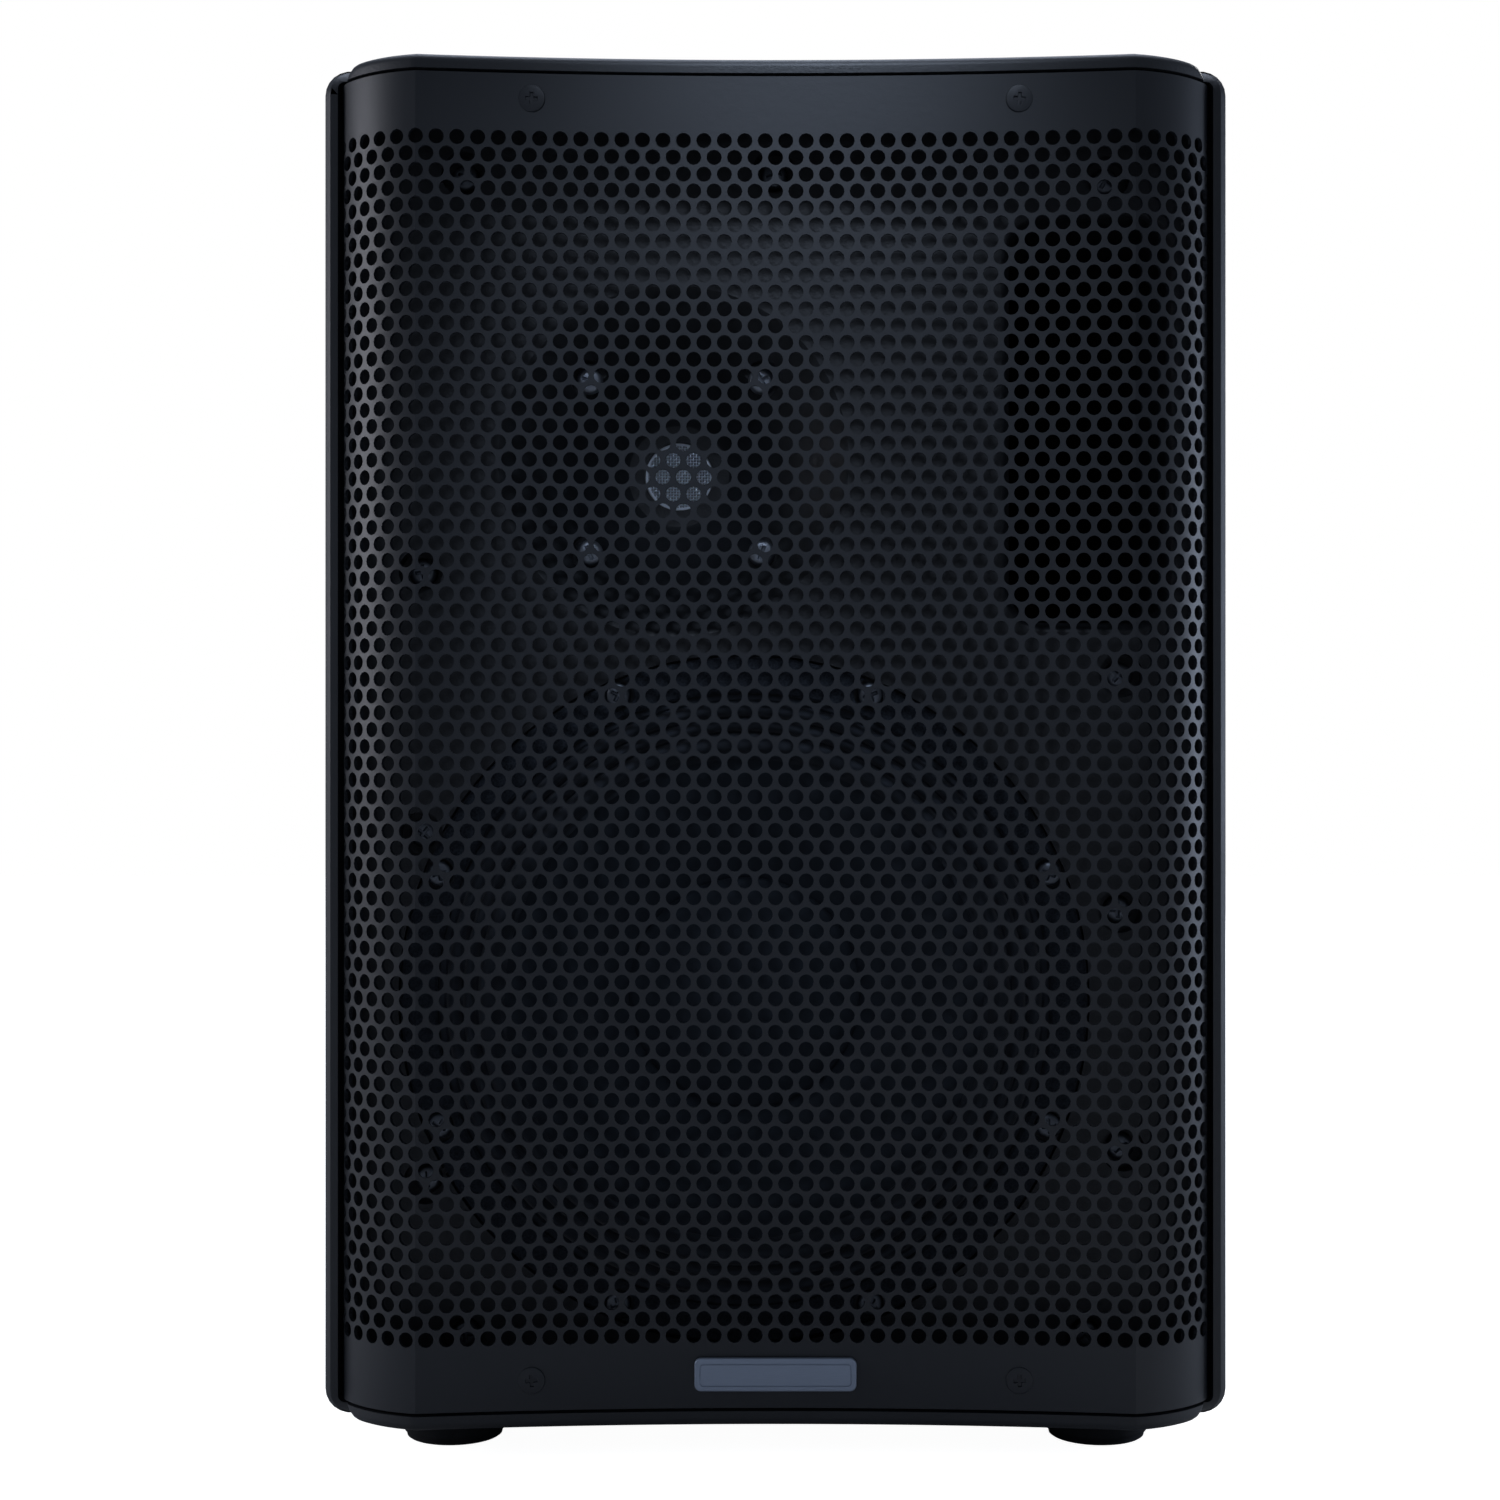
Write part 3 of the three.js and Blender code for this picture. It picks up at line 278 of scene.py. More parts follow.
def whiteWadding(name):
    made = Finish(name, specularIorLevel=0.15, sheenWeight=0.4)
    fibres = made.noise(520, 8, 0.8, (1, 0.4, 1))
    tufts = made.noise(70, 4, 0.6)
    made.set(baseColor=made.blend(fibres * 0.6 + tufts * 0.4, (0.36, 0.36, 0.34), (0.82, 0.82, 0.79)))
    made.set(roughness=0.9 + fibres * 0.08)
    return made.bump(fibres + tufts, 0.9).material


def cableSheath(name):
    made = Finish(name, specularIorLevel=0.4)
    scuff = made.noise(240, 4, 0.7)
    made.set(baseColor=made.blend(scuff, (0.008, 0.008, 0.009), (0.022, 0.022, 0.024)))
    made.set(roughness=0.44 + scuff * 0.2)
    return made.bump(made.noise(1500, 2), 0.02).material


def lensPlastic(name, colour):
    made = Finish(name, coatWeight=0.6, coatRoughness=0.08)
    depth = made.noise(500, 2)
    made.set(baseColor=made.blend(depth, tuple(c * 0.6 for c in colour), colour),
             roughness=0.16 + depth * 0.1)
    return made.material


def printedInk(name, colour):
    made = Finish(name, specularIorLevel=0.4)
    wear = made.noise(700, 4, 0.7)
    made.set(baseColor=made.blend(wear, tuple(c * 0.78 for c in colour), colour),
             roughness=0.46 + wear * 0.16)
    return made.material


finishes = {
    "shell": mouldedPlastic("shellPlastic", moulded),
    "grille": powderCoat("grillePowder", powder),
    "badge": brushedMetal("badgeMetal", (0.31, 0.365, 0.455), 0.34, (1, 60, 60), 0.01, 0.55),
    "screw": platedSteel("blackZinc", (0.035, 0.038, 0.044), 0.3),
    "zinc": platedSteel("brightZinc", (0.46, 0.50, 0.56), 0.36),
    "dullZinc": platedSteel("dullZinc", (0.21, 0.23, 0.26), 0.38),
    "foot": softRubber("footRubber", (0.0105, 0.0112, 0.0125)),
    "basket": powderCoat("basketPaint", {**powder, "peel": 700, "gloss": 0.42}),
    "gasket": openFoam("gasketFoam", (0.030, 0.036, 0.046)),
    "surround": wovenCloth("treatedCloth", (0.030, 0.037, 0.049), 0.7, 0.62),
    "cone": pressedPaper("conePaper", (0.020, 0.0255, 0.034)),
    "spider": wovenCloth("spiderCloth", (0.42, 0.27, 0.10), 0.9),
    "coil": brushedMetal("coilWire", (0.72, 0.33, 0.14), 0.28, (1, 90, 1), 0.05),
    "steel": platedSteel("platedSteel", (0.52, 0.53, 0.55), 0.28),
    "ferrite": softRubber("ferrite", (0.022, 0.022, 0.024), 0.62, 500, 0.04),
    "screen": platedSteel("screenWire", (0.80, 0.86, 0.94), 0.42),
    "diaphragm": brushedMetal("diaphragmFoil", (0.46, 0.45, 0.44), 0.24, (3, 3, 3), 0.01),
    "brass": brushedMetal("turnedBrass", (0.62, 0.44, 0.17), 0.24, (1, 1, 60), 0.012),
    "panel": powderCoat("panelPaint", {**powder, "dark": (0.014, 0.0145, 0.0155),
                                       "light": (0.019, 0.0195, 0.0205),
                                       "peel": 900, "gloss": 0.46}),
    "sink": brushedMetal("blackAnodised", (0.020, 0.021, 0.024), 0.36, (60, 60, 1), 0.02, 0.6),
    "chassis": platedSteel("galvanised", (0.50, 0.52, 0.54), 0.34, 0.6),
    "board": circuitBoard("circuitBoard"),
    "knob": mouldedPlastic("knobPlastic", {**moulded, "grain": 1500, "grainDepth": 0.02,
                                           "gloss": 0.38}),
    "connector": mouldedPlastic("connectorPlastic",
                                {**moulded, "grain": 1700, "grainDepth": 0.014, "gloss": 0.34}, 0.9),
    "sheath": cableSheath("cableSheath"),
    "wadding": whiteWadding("wadding"),
    "ink": printedInk("printedInk", (0.55, 0.56, 0.57)),
    "greenLens": lensPlastic("greenLens", (0.05, 0.30, 0.10)),
    "redLens": lensPlastic("redLens", (0.34, 0.03, 0.025)),
}
print("finishes made:", len(finishes))


# Mesh helpers. Everything below is drawn in millimetres and scaled as it is stored.

def boxOf(node):
    low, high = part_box(node)
    return low / mm, high / mm


def middleOf(node):
    low, high = boxOf(node)
    return (low + high) / 2


def addObject(name, verts, faces):
    mesh = bpy.data.meshes.new(name)
    mesh.from_pydata([Vector(v) * mm for v in verts], [], faces)
    made = bpy.data.objects.new(name, mesh)
    bpy.context.scene.collection.objects.link(made)
    return made


# Welds points that fall together and turns every face outwards.
def tidyMesh(obj, weld=2e-7):
    work = bmesh.new()
    work.from_mesh(obj.data)
    bmesh.ops.remove_doubles(work, verts=work.verts, dist=weld)
    loose = [v for v in work.verts if not v.link_faces]
    bmesh.ops.delete(work, geom=loose, context="VERTS")
    bmesh.ops.recalc_face_normals(work, faces=work.faces)
    work.to_mesh(obj.data)
    work.free()
    return obj


# A skin over rings with the same number of points, capped, or joined end to end when it is a loop.
def loft(name, rings, loop=False):
    count, total = len(rings[0]), len(rings)
    verts = [p for ring in rings for p in ring]
    faces = []
    for i in range(total if loop else total - 1):
        a, b = i * count, ((i + 1) % total) * count
        faces += [(a + k, a + (k + 1) % count, b + (k + 1) % count, b + k) for k in range(count)]
    if not loop:
        faces += [tuple(range(count)), tuple(range((total - 1) * count, total * count))]
    return tidyMesh(addObject(name, verts, faces))


# A closed [radius, along] outline turned round a line along Y or Z, or part of a turn of it.
def spin(name, outline, centre=(0, 0), axis="Y", sides=96, part=None):
    start, sweep = part or (0, 2 * math.pi)
    steps = sides if part is None else sides + 1
    rings = []
    for i in range(steps):
        turn = start + sweep * i / sides
        cos, sin = math.cos(turn), math.sin(turn)
        if axis == "Y":
            rings.append([(centre[0] + r * cos, t, centre[1] + r * sin) for r, t in outline])
        else:
            rings.append([(centre[0] + r * cos, centre[1] + r * sin, t) for r, t in outline])
    return loft(name, rings, loop=part is None)


def roundRect(wide, high, radius, centre=(0, 0), steps=8):
    radius = max(radius, 0.02)
    points = []
    for quarter, (sx, sy) in enumerate(((1, 1), (-1, 1), (-1, -1), (1, -1))):
        for i in range(steps + 1):
            turn = (quarter + i / steps) * math.pi / 2
            points.append((centre[0] + sx * (wide / 2 - radius) + radius * math.cos(turn),
                           centre[1] + sy * (high / 2 - radius) + radius * math.sin(turn)))
    return points


# [place, growth] pairs from low to high. A positive edge is rounded off, a negative one flares out.
def edgeLevels(low, high, lowEdge=0.0, highEdge=0.0, count=4):
    def corner(edge):
        turns = [i / count * math.pi / 2 for i in range(count + 1)]
        if edge > 0:
            return [(edge * (1 - math.cos(t)), -edge * (1 - math.sin(t))) for t in turns]
        return [(-edge * (1 - math.cos(t)), -edge * (1 - math.sin(t))) for t in turns]
    lows = [(low + d, g) for d, g in corner(lowEdge)] if lowEdge else [(low, 0)]
    highs = [(high - d, g) for d, g in reversed(corner(highEdge))] if highEdge else [(high, 0)]
    return lows + highs


def stack(name, outlineAt, levels, axis="Y"):
    rings = []
    for place, grow in levels:
        outline = outlineAt(grow)
        rings.append([(x, place, z) if axis == "Y" else (x, z, place) for x, z in outline])
    return loft(name, rings)


def slab(name, size, radius, centre, reach, lowEdge=0.0, highEdge=0.0, axis="Y", count=4, corners=8):
    def outlineAt(grow):
        return roundRect(size[0] + 2 * grow, size[1] + 2 * grow, radius + grow, centre, corners)
    return stack(name, outlineAt, edgeLevels(*reach, lowEdge, highEdge, count), axis)


def disc(name, radius, centre, reach, lowEdge=0.0, highEdge=0.0, axis="Y", sides=64):
    levels = edgeLevels(*reach, lowEdge, highEdge)
    outline = [(0, levels[0][0])] + [(radius + g, t) for t, g in levels] + [(0, levels[-1][0])]
    return spin(name, outline, centre, axis, sides)


def block(name, x, y, z, edge=0.0):
    centre = ((x[0] + x[1]) / 2, (z[0] + z[1]) / 2)
    return slab(name, (x[1] - x[0], z[1] - z[0]), max(edge, 0.02), centre, y, edge, edge, count=2,
                corners=2)


def smoothLine(points, pieces=6):
    ends = [points[0]] + list(points) + [points[-1]]
    line = []
    for a, b, c, d in zip(ends, ends[1:], ends[2:], ends[3:]):
        for i in range(pieces):
            t = i / pieces
            line.append(tuple(
                0.5 * (2 * q + (r - p) * t + (2 * p - 5 * q + 4 * r - s) * t * t
                       + (3 * q - p - 3 * r + s) * t ** 3)
                for p, q, r, s in zip(a, b, c, d)))
    return line + [tuple(points[-1])]


def settle(obj):
    bpy.context.view_layer.update()
    graph = bpy.context.evaluated_depsgraph_get()
    mesh = bpy.data.meshes.new_from_object(obj.evaluated_get(graph), depsgraph=graph)
    old = obj.data
    obj.modifiers.clear()
    obj.data = mesh
    mesh.name = obj.name
    bpy.data.meshes.remove(old)
    return obj


def discard(obj):
    mesh = obj.data
    bpy.data.objects.remove(obj)
    bpy.data.meshes.remove(mesh)


def combine(obj, operation, tool):
    step = obj.modifiers.new("step", "BOOLEAN")
    step.solver, step.operation, step.object = "EXACT", operation, tool


# Adds the first tools to obj, then cuts the second ones out of it.
def shape(obj, added=(), cut=()):
    for operation, tools in (("UNION", added), ("DIFFERENCE", cut)):
        for tool in tools:
            combine(obj, operation, tool)
    settle(obj)
    for tool in (*added, *cut):
        discard(tool)
    return tidyMesh(obj, 1e-6)


# Several closed bodies in one piece.
def gather(name, parts):
    verts, faces = [], []
    for part in parts:
        start = len(verts)
        verts += [part.matrix_world @ v.co / mm for v in part.data.vertices]
        faces += [tuple(start + i for i in face.vertices) for face in part.data.polygons]
        discard(part)
    return addObject(name, verts, faces)


def coat(mesh, finish, sharp):
    mesh.materials.clear()
    mesh.materials.append(finishes[finish])
    mesh.polygons.foreach_set("use_smooth", [True] * len(mesh.polygons))
    mesh.set_sharp_from_angle(angle=math.radians(sharp))


def finishPiece(obj, finish, body="root", stands=(), sharp=32, weighted=False):
    coat(obj.data, finish, sharp)
    if weighted:
        normals = obj.modifiers.new("normals", "WEIGHTED_NORMAL")
        normals.keep_sharp, normals.weight = True, 90
        settle(obj)
    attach(obj, body)
    if stands:
        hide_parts(*stands)
    return obj


# Cabinet

cabinet = {
    "wide": 271, "deep": 278, "low": 9.5, "high": 415, "wall": 4,
    "crease": 29.7, "sag": 6.7, "corner": 37.5,
    "taperFrom": 99, "taper": math.radians(14), "bend": 40, "backCorner": 22,
    "edge": 8.3, "lip": 2.5,
    "baffle": 30, "baffleThick": 5, "rim": (4.1, 4.4), "rimCorner": 2,
    "rimFace": 16, "chamfer": (1.85, 2.0), "seam": 51, "seamGap": 0.8,
}
halfWide = cabinet["wide"] / 2
front, back = -cabinet["deep"] / 2, cabinet["deep"] / 2
baffle = front + cabinet["baffle"]
seam = front + cabinet["seam"]
creaseX = halfWide - cabinet["crease"]
sagRadius = (creaseX ** 2 + cabinet["sag"] ** 2) / (2 * cabinet["sag"])
sagCentre = front + cabinet["sag"] - sagRadius
cornerX = halfWide - cabinet["corner"]
creaseAngle = math.asin((creaseX - cornerX) / cabinet["corner"])
cornerY = front + cabinet["corner"] * math.cos(creaseAngle)
middleZ = (cabinet["high"] + cabinet["low"]) / 2
tall = cabinet["high"] - cabinet["low"]


def arcPoints(x, y, radius, start, end, count):
    turns = [start + (end - start) * i / count for i in range(count + 1)]
    return [(x + radius * math.sin(t), y - radius * math.cos(t)) for t in turns]


# Right half of the plan from the middle of the front round to the middle of the back.
def halfPlan(inset):
    faceY = front + cabinet["rimFace"]
    cut, setback = cabinet["chamfer"]
    lastTurn = math.acos((cornerY - faceY) / cabinet["corner"])
    sag = math.asin(creaseX / sagRadius)
    line = arcPoints(0, sagCentre, sagRadius + inset, math.pi, math.pi - sag, 20)[:-1]
    line += arcPoints(cornerX, cornerY, cabinet["corner"] - inset, creaseAngle, lastTurn, 14)
    line += [(halfWide - cut - 0.15 - inset * 0.7, faceY + inset),
             (halfWide - cut + 0.15 - inset * 0.9, faceY + 0.1 + 0.9 * inset),
             (halfWide - 0.1 - inset, faceY + setback - 0.15 + 0.6 * inset),
             (halfWide - inset, faceY + setback + 0.2 + 0.4 * inset)]
    bendX, bendY = halfWide - cabinet["bend"], front + cabinet["taperFrom"]
    cos, sin = math.cos(cabinet["taper"]), math.sin(cabinet["taper"])
    reach = bendX * cos + bendY * sin + cabinet["bend"] - cabinet["backCorner"]
    backY = back - cabinet["backCorner"]
    backX = (reach - sin * backY) / cos
    line += arcPoints(bendX, bendY, cabinet["bend"] - inset, math.pi / 2,
                      math.pi / 2 + cabinet["taper"], 5)
    line += arcPoints(backX, backY, cabinet["backCorner"] - inset, math.pi / 2 + cabinet["taper"],
                      math.pi, 12)
    return line


def wholePlan(inset):
    right = halfPlan(inset)
    return right + [(-x, y) for x, y in reversed(right)][:-1]


def edgeAt(y):
    share = min(max((y - front) / cabinet["rimFace"], 0), 1)
    return cabinet["lip"] + (cabinet["edge"] - cabinet["lip"]) * share ** 8


def cabinetBody(name):
    outline = wholePlan(0)
    inward = [(b[0] - a[0], b[1] - a[1]) for a, b in zip(outline, wholePlan(1))]

    def ring(turn, end, sign):
        points = []
        for (x, y), (dx, dy) in zip(outline, inward):
            radius = edgeAt(y)
            inset = radius * (1 - math.cos(turn))
            points.append((x + dx * inset, y + dy * inset, end - sign * radius * (1 - math.sin(turn))))
        return points
    turns = [i / 6 * math.pi / 2 for i in range(7)]
    rings = [ring(t, cabinet["low"], -1) for t in reversed(turns)]
    rings += [ring(t, cabinet["high"], 1) for t in turns]
    return loft(name, rings)


def elevation(name, inset, reach):
    size = (cabinet["wide"] - 2 * inset, tall - 2 * inset)
    return slab(name, size, cabinet["edge"], (0, middleZ), reach)


screwPockets = {
    "radius": 6.75, "depth": 8, "boss": 9.5,
    "places": [(-95.5, 386), (-0.5, 386.6), (101.5, 384.8), (-108.5, 264.5), (-108.5, 184.1),
               (-107.1, 77.6),
               (105.7, 232.7), (105.4, 160.6), (106.2, 87.6), (-95.5, 30), (95.5, 30)],
}
grilleScrews = {"places": [middleOf("grille_screw_%d" % i) for i in range(1, 5)]}
wooferX, _, wooferZ = middleOf("woofer_cone")
hornX, _, hornZ = middleOf("throat_screen")
wooferPlace = {"recess": 105.7, "recessDepth": 4, "hole": 91}
hornFlare = {
    "wall": 3, "back": baffle + 47, "flange": 46,
    "line": [(53.8, 0), (52.9, 0.5), (51.4, 1.6), (48.2, 4.4), (42.5, 9.6), (34.5, 18.5), (28, 27.5),
             (22.3, 36.5), (18, 41.6), (16, 43.2)],
    "throat": 11.1, "screwCircle": 38, "pocket": 5.7, "pocketFloor": 17,
}
port = {
    "size": (47.4, 122.4), "centre": (95.8, 310.3), "corner": 10.5, "flare": 3.3, "flareDepth": 9,
    "wall": 2.5,
}


def portMouth(name):
    levels = [(baffle - 1, port["flare"])]
    for i in range(11):
        turn = i / 10 * math.pi / 2
        levels.append((baffle + port["flareDepth"] * (1 - math.cos(turn)),
                       port["flare"] * (1 - math.sin(turn))))
    levels.append((seam + 10, 0))
    wide, high = port["size"]
    return stack(name, lambda grow: roundRect(
        wide + 2 * grow, high + 2 * grow, port["corner"] + grow, port["centre"], 10), levels)


def driverScrewPlaces():
    turns = [math.pi / 4 + i * math.pi / 2 for i in range(4)]
    return [(hornX + hornFlare["screwCircle"] * math.cos(t),
             hornZ + hornFlare["screwCircle"] * math.sin(t)) for t in turns]


def frontShell():
    behind = baffle + cabinet["baffleThick"]
    hornBack, line = hornFlare["back"], smoothLine(hornFlare["line"], 3)
    size = (cabinet["wide"] - 2 * cabinet["rim"][0], tall - 2 * cabinet["rim"][1])
    shell = cabinetBody("frontShell")
    rear = block("tool", (-200, 200), (seam - cabinet["seamGap"] / 2, back + 5), (-10, 500))
    recess = slab("tool", size, cabinet["rimCorner"], (0, middleZ), (front - 5, baffle))
    shape(shell, cut=[rear, recess, elevation("tool", cabinet["wall"], (behind, seam + 1))])
    bell = [(0, baffle + 1)] + [(r + hornFlare["wall"], baffle + max(y, 1)) for r, y in line[6:]]
    bell += [(19, hornBack - 4), (hornFlare["flange"], hornBack - 4), (hornFlare["flange"], hornBack),
             (0, hornBack)]
    added = [spin("tool", bell, (hornX, hornZ), sides=96),
             disc("tool", wooferPlace["recess"] + 4, (wooferX, wooferZ), (baffle + 1, baffle + 9.7),
                  sides=96),
             slab("tool", (port["size"][0] + 8, port["size"][1] + 8), port["corner"] + 4,
                  port["centre"], (baffle + 1, baffle + 12))]
    added += [disc("tool", hornFlare["pocket"] + 2, spot, (baffle + 6, hornBack), sides=32)
              for spot in driverScrewPlaces()]
    added += [disc("tool", screwPockets["boss"], spot, (baffle + 1, seam - 2), sides=32)
              for spot in screwPockets["places"]]
    added += [disc("tool", 5, (p.x, p.z), (p.y + 4.5, baffle + 1), sides=32)
              for p in grilleScrews["places"]]
    inner = elevation("keep", 1, (front, back))
    for tool in added:
        combine(tool, "INTERSECT", inner)
        settle(tool)
    discard(inner)
    bore = [(0, baffle - 1), (line[0][0], baffle - 1)] + [(r, baffle + y) for r, y in line]
    bore += [(hornFlare["throat"], baffle + 43.5), (hornFlare["throat"], hornBack + 1),
             (0, hornBack + 1)]
    cuts = [spin("tool", bore, (hornX, hornZ), sides=96),
            disc("tool", wooferPlace["recess"], (wooferX, wooferZ),
                 (baffle - 1, baffle + wooferPlace["recessDepth"]), sides=128),
            disc("tool", wooferPlace["hole"], (wooferX, wooferZ), (baffle - 1, seam + 5), sides=96),
            portMouth("tool")]
    cuts += [disc("tool", hornFlare["pocket"], spot, (baffle - 1, baffle + hornFlare["pocketFloor"]),
                  sides=32)
             for spot in driverScrewPlaces()]
    cuts += [disc("tool", screwPockets["radius"], spot, (baffle - 1, baffle + screwPockets["depth"]),
                  sides=40)
             for spot in screwPockets["places"]]
    shape(shell, added, cuts)
    return finishPiece(shell, "shell", stands=["front_shell"], sharp=30, weighted=True)


frontShell()
print("front shell made")

rear = {
    "grip": {"wide": 124, "high": 58, "centre": 359, "deep": 48, "corner": 12, "bar": 20, "hook": 15,
             "round": 3.0},
    "panel": {"wide": 140.4, "high": 251.4, "centre": 185, "setback": 12, "thick": 3, "ledge": 6.5,
              "corner": 4, "round": 1.6},
    "poleHole": 22.3, "insertHole": 6.3,
}
poleX, poleY, _ = middleOf("pole_socket")


def rearShell():
    grip, panel, wall = rear["grip"], rear["panel"], cabinet["wall"]
    shell = cabinetBody("rearShell")
    panelBack = back - panel["setback"] - panel["thick"]
    hollow = stack("tool", lambda grow: wholePlan(wall),
                   [(cabinet["low"] + wall, 0), (cabinet["high"] - wall, 0)], "Z")
    shape(shell, cut=[block("tool", (-200, 200), (front - 5, seam + cabinet["seamGap"] / 2),
                            (-10, 500)), hollow])

    def gripBox(grow, reach, edge=0.0):
        return slab("tool", (grip["wide"] + 2 * grow, grip["high"] + 2 * grow), grip["corner"] + grow,
                    (0, grip["centre"]), reach, 0, edge)

    def hookBox(grow, reach):
        return slab("tool", (grip["wide"] + 2 * grow, 2 * grip["hook"] + 2 * grow),
                    grip["corner"] + grow,
                    (0, grip["centre"] + grip["high"] / 2), reach)

    def panelBox(grow, reach, edge=0.0):
        return slab("tool", (panel["wide"] + 2 * grow, panel["high"] + 2 * grow),
                    max(panel["corner"], 4 + grow),
                    (0, panel["centre"]), reach, 0, edge)
    deep = back - grip["deep"]
    added = [gripBox(wall, (deep - wall, back - 1)), hookBox(wall, (deep - wall, back - 1)),
             panelBox(wall, (panelBack - wall - 0.3, back - 1)),
             disc("tool", 10, (0, poleY), (cabinet["high"] - 18, cabinet["high"] - 1), axis="Z")]
    cuts = [gripBox(0, (deep, back + 0.01), -grip["round"]), hookBox(0, (deep, back - grip["bar"])),
            panelBox(0.3, (panelBack - 0.3, back + 0.01), -panel["round"]),
            panelBox(-panel["ledge"], (panelBack - wall - 2, back)),
            disc("tool", rear["poleHole"], (0, poleY), (0, cabinet["low"] + wall + 1), axis="Z"),
            disc("tool", rear["insertHole"], (0, poleY), (cabinet["high"] - 15.3, cabinet["high"] + 1),
                 axis="Z")]
    shape(shell, added, cuts)
    return finishPiece(shell, "shell", stands=["rear_shell"], sharp=30, weighted=True)


rearShell()
print("rear shell made")

# Grille

grille = {
    "pitch": 3.034, "rowPitch": 4.987, "rows": 72, "topRow": 390.5, "hole": 2.275, "sides": 12,
    "sheet": 1.2,
    "low": 14.9, "high": 409.6, "creaseAt": 35, "lastColumn": 45, "cornerEnd": math.radians(57),
    "bend": 3.0, "flangeEnd": -112,
}
creaseReach = grille["creaseAt"] * grille["pitch"]
cornerReach = creaseReach + cabinet["corner"] * (grille["cornerEnd"] - creaseAngle)
bendReach = cornerReach + grille["bend"] * (math.pi / 2 - grille["cornerEnd"])


# A point of the sheet's section, at an arc distance from the middle and a depth behind its face.
def sectionPoint(distance, depth):
    side, reach = math.copysign(1, distance), abs(distance)
    sagTurn = reach / creaseReach * math.asin(creaseX / sagRadius)
    onSag = ((sagRadius + depth) * math.sin(sagTurn),
             sagCentre + (sagRadius + depth) * math.cos(sagTurn))
    turn = creaseAngle + (reach - creaseReach) / cabinet["corner"]
    onCorner = (cornerX + (cabinet["corner"] - depth) * math.sin(turn),
                cornerY - (cabinet["corner"] - depth) * math.cos(turn))
    if abs(reach - creaseReach) < 0.01:
        x, y = (onSag[0] + onCorner[0]) / 2, (onSag[1] + onCorner[1]) / 2
    elif reach < creaseReach:
        x, y = onSag
    elif reach < cornerReach:
        x, y = onCorner
    else:
        end, bend = grille["cornerEnd"], grille["bend"]
        shift = cabinet["corner"] - bend
        bendX, bendY = cornerX + shift * math.sin(end), cornerY - shift * math.cos(end)
        turn = min(end + (reach - cornerReach) / bend, math.pi / 2)
        x = bendX + (bend - depth) * math.sin(turn)
        y = bendY - (bend - depth) * math.cos(turn) + max(reach - bendReach, 0)
    return side * x, y


def grilleSheet():
    pitch, rowPitch = grille["pitch"], grille["rowPitch"]
    rows, last = grille["rows"], grille["lastColumn"]
    _, bendY = sectionPoint(bendReach, 0)
    flangeReach = bendReach + grille["flangeEnd"] - bendY
    columns = list(range(-last - 2, last + 3))
    reachOf = {i: i * pitch for i in columns}
    reachOf[columns[0]], reachOf[columns[-1]] = -flangeReach, flangeReach
    topEdge = grille["topRow"] + rowPitch / 2
    heights = {j: topEdge - j * rowPitch for j in range(rows + 1)}
    heights[-1], heights[rows + 1] = grille["high"], grille["low"]
    verts, faces, known = [], [], {}

    def vertex(key, distance, z, depth):
        if key not in known:
            x, y = sectionPoint(distance, depth)
            known[key] = len(verts)
            verts.append((x, y, z))
        return known[key]

    def crossing(i, j, depth):
        return vertex((i, j, depth), reachOf[i], heights[j], depth)

    def rim(i, row, depth):
        z = grille["topRow"] - row * rowPitch
        turns = [2 * math.pi * n / grille["sides"] for n in range(grille["sides"])]
        return [vertex(("hole", i, row, depth, n), reachOf[i] + grille["hole"] * math.cos(t),
                       z + grille["hole"] * math.sin(t), depth)
                for n, t in enumerate(turns)]

    def perforated(i, row):
        rims = []
        for depth in (0, grille["sheet"]):
            hole = rim(i, row, depth)
            outer = [crossing(i + 1, row, depth), crossing(i, row, depth), crossing(i - 1, row, depth),
                     crossing(i - 1, row + 1, depth), crossing(i, row + 1, depth),
                     crossing(i + 1, row + 1, depth)]
            joints = [1, 3, 5, 7, 9, 11]
            for a in range(6):
                b = (a + 1) % 6
                low, high = joints[a], joints[b] + (grille["sides"] if joints[b] < joints[a] else 0)
                faces.append([outer[a], outer[b]]
                             + [hole[n % grille["sides"]] for n in range(high, low - 1, -1)])
            rims.append(hole)
        for n in range(grille["sides"]):
            m = (n + 1) % grille["sides"]
            faces.append([rims[0][n], rims[0][m], rims[1][m], rims[1][n]])

    def plain(i, j):
        for depth in (0, grille["sheet"]):
            faces.append([crossing(i, j, depth), crossing(i + 1, j, depth),
                          crossing(i + 1, j + 1, depth), crossing(i, j + 1, depth)])

    for row in range(rows):
        held = [i for i in range(-last, last + 1) if (i + row) % 2]
        for i in held:
            perforated(i, row)
        covered = {column for i in held for column in (i - 1, i)}
        for i in columns[:-1]:
            if i not in covered:
                plain(i, row)
    for i in columns[:-1]:
        plain(i, -1)
        plain(i, rows)
    for j in range(-1, rows + 1):
        for i in (columns[0], columns[-1]):
            faces.append([crossing(i, j, 0), crossing(i, j + 1, 0), crossing(i, j + 1, grille["sheet"]),
                          crossing(i, j, grille["sheet"])])
    for i in columns[:-1]:
        for j in (-1, rows + 1):
            faces.append([crossing(i, j, 0), crossing(i + 1, j, 0), crossing(i + 1, j, grille["sheet"]),
                          crossing(i, j, grille["sheet"])])
    made = addObject("grilleSheet", verts, faces)
    return tidyMesh(made, 1e-9)


finishPiece(grilleSheet(), "grille", stands=["grille"], sharp=17)
lastHole = grille["lastColumn"]
print("grille made, holes:", sum((i + row) % 2 for row in range(grille["rows"])
                                 for i in range(-lastHole, lastHole + 1)))

# Screws, badge and feet

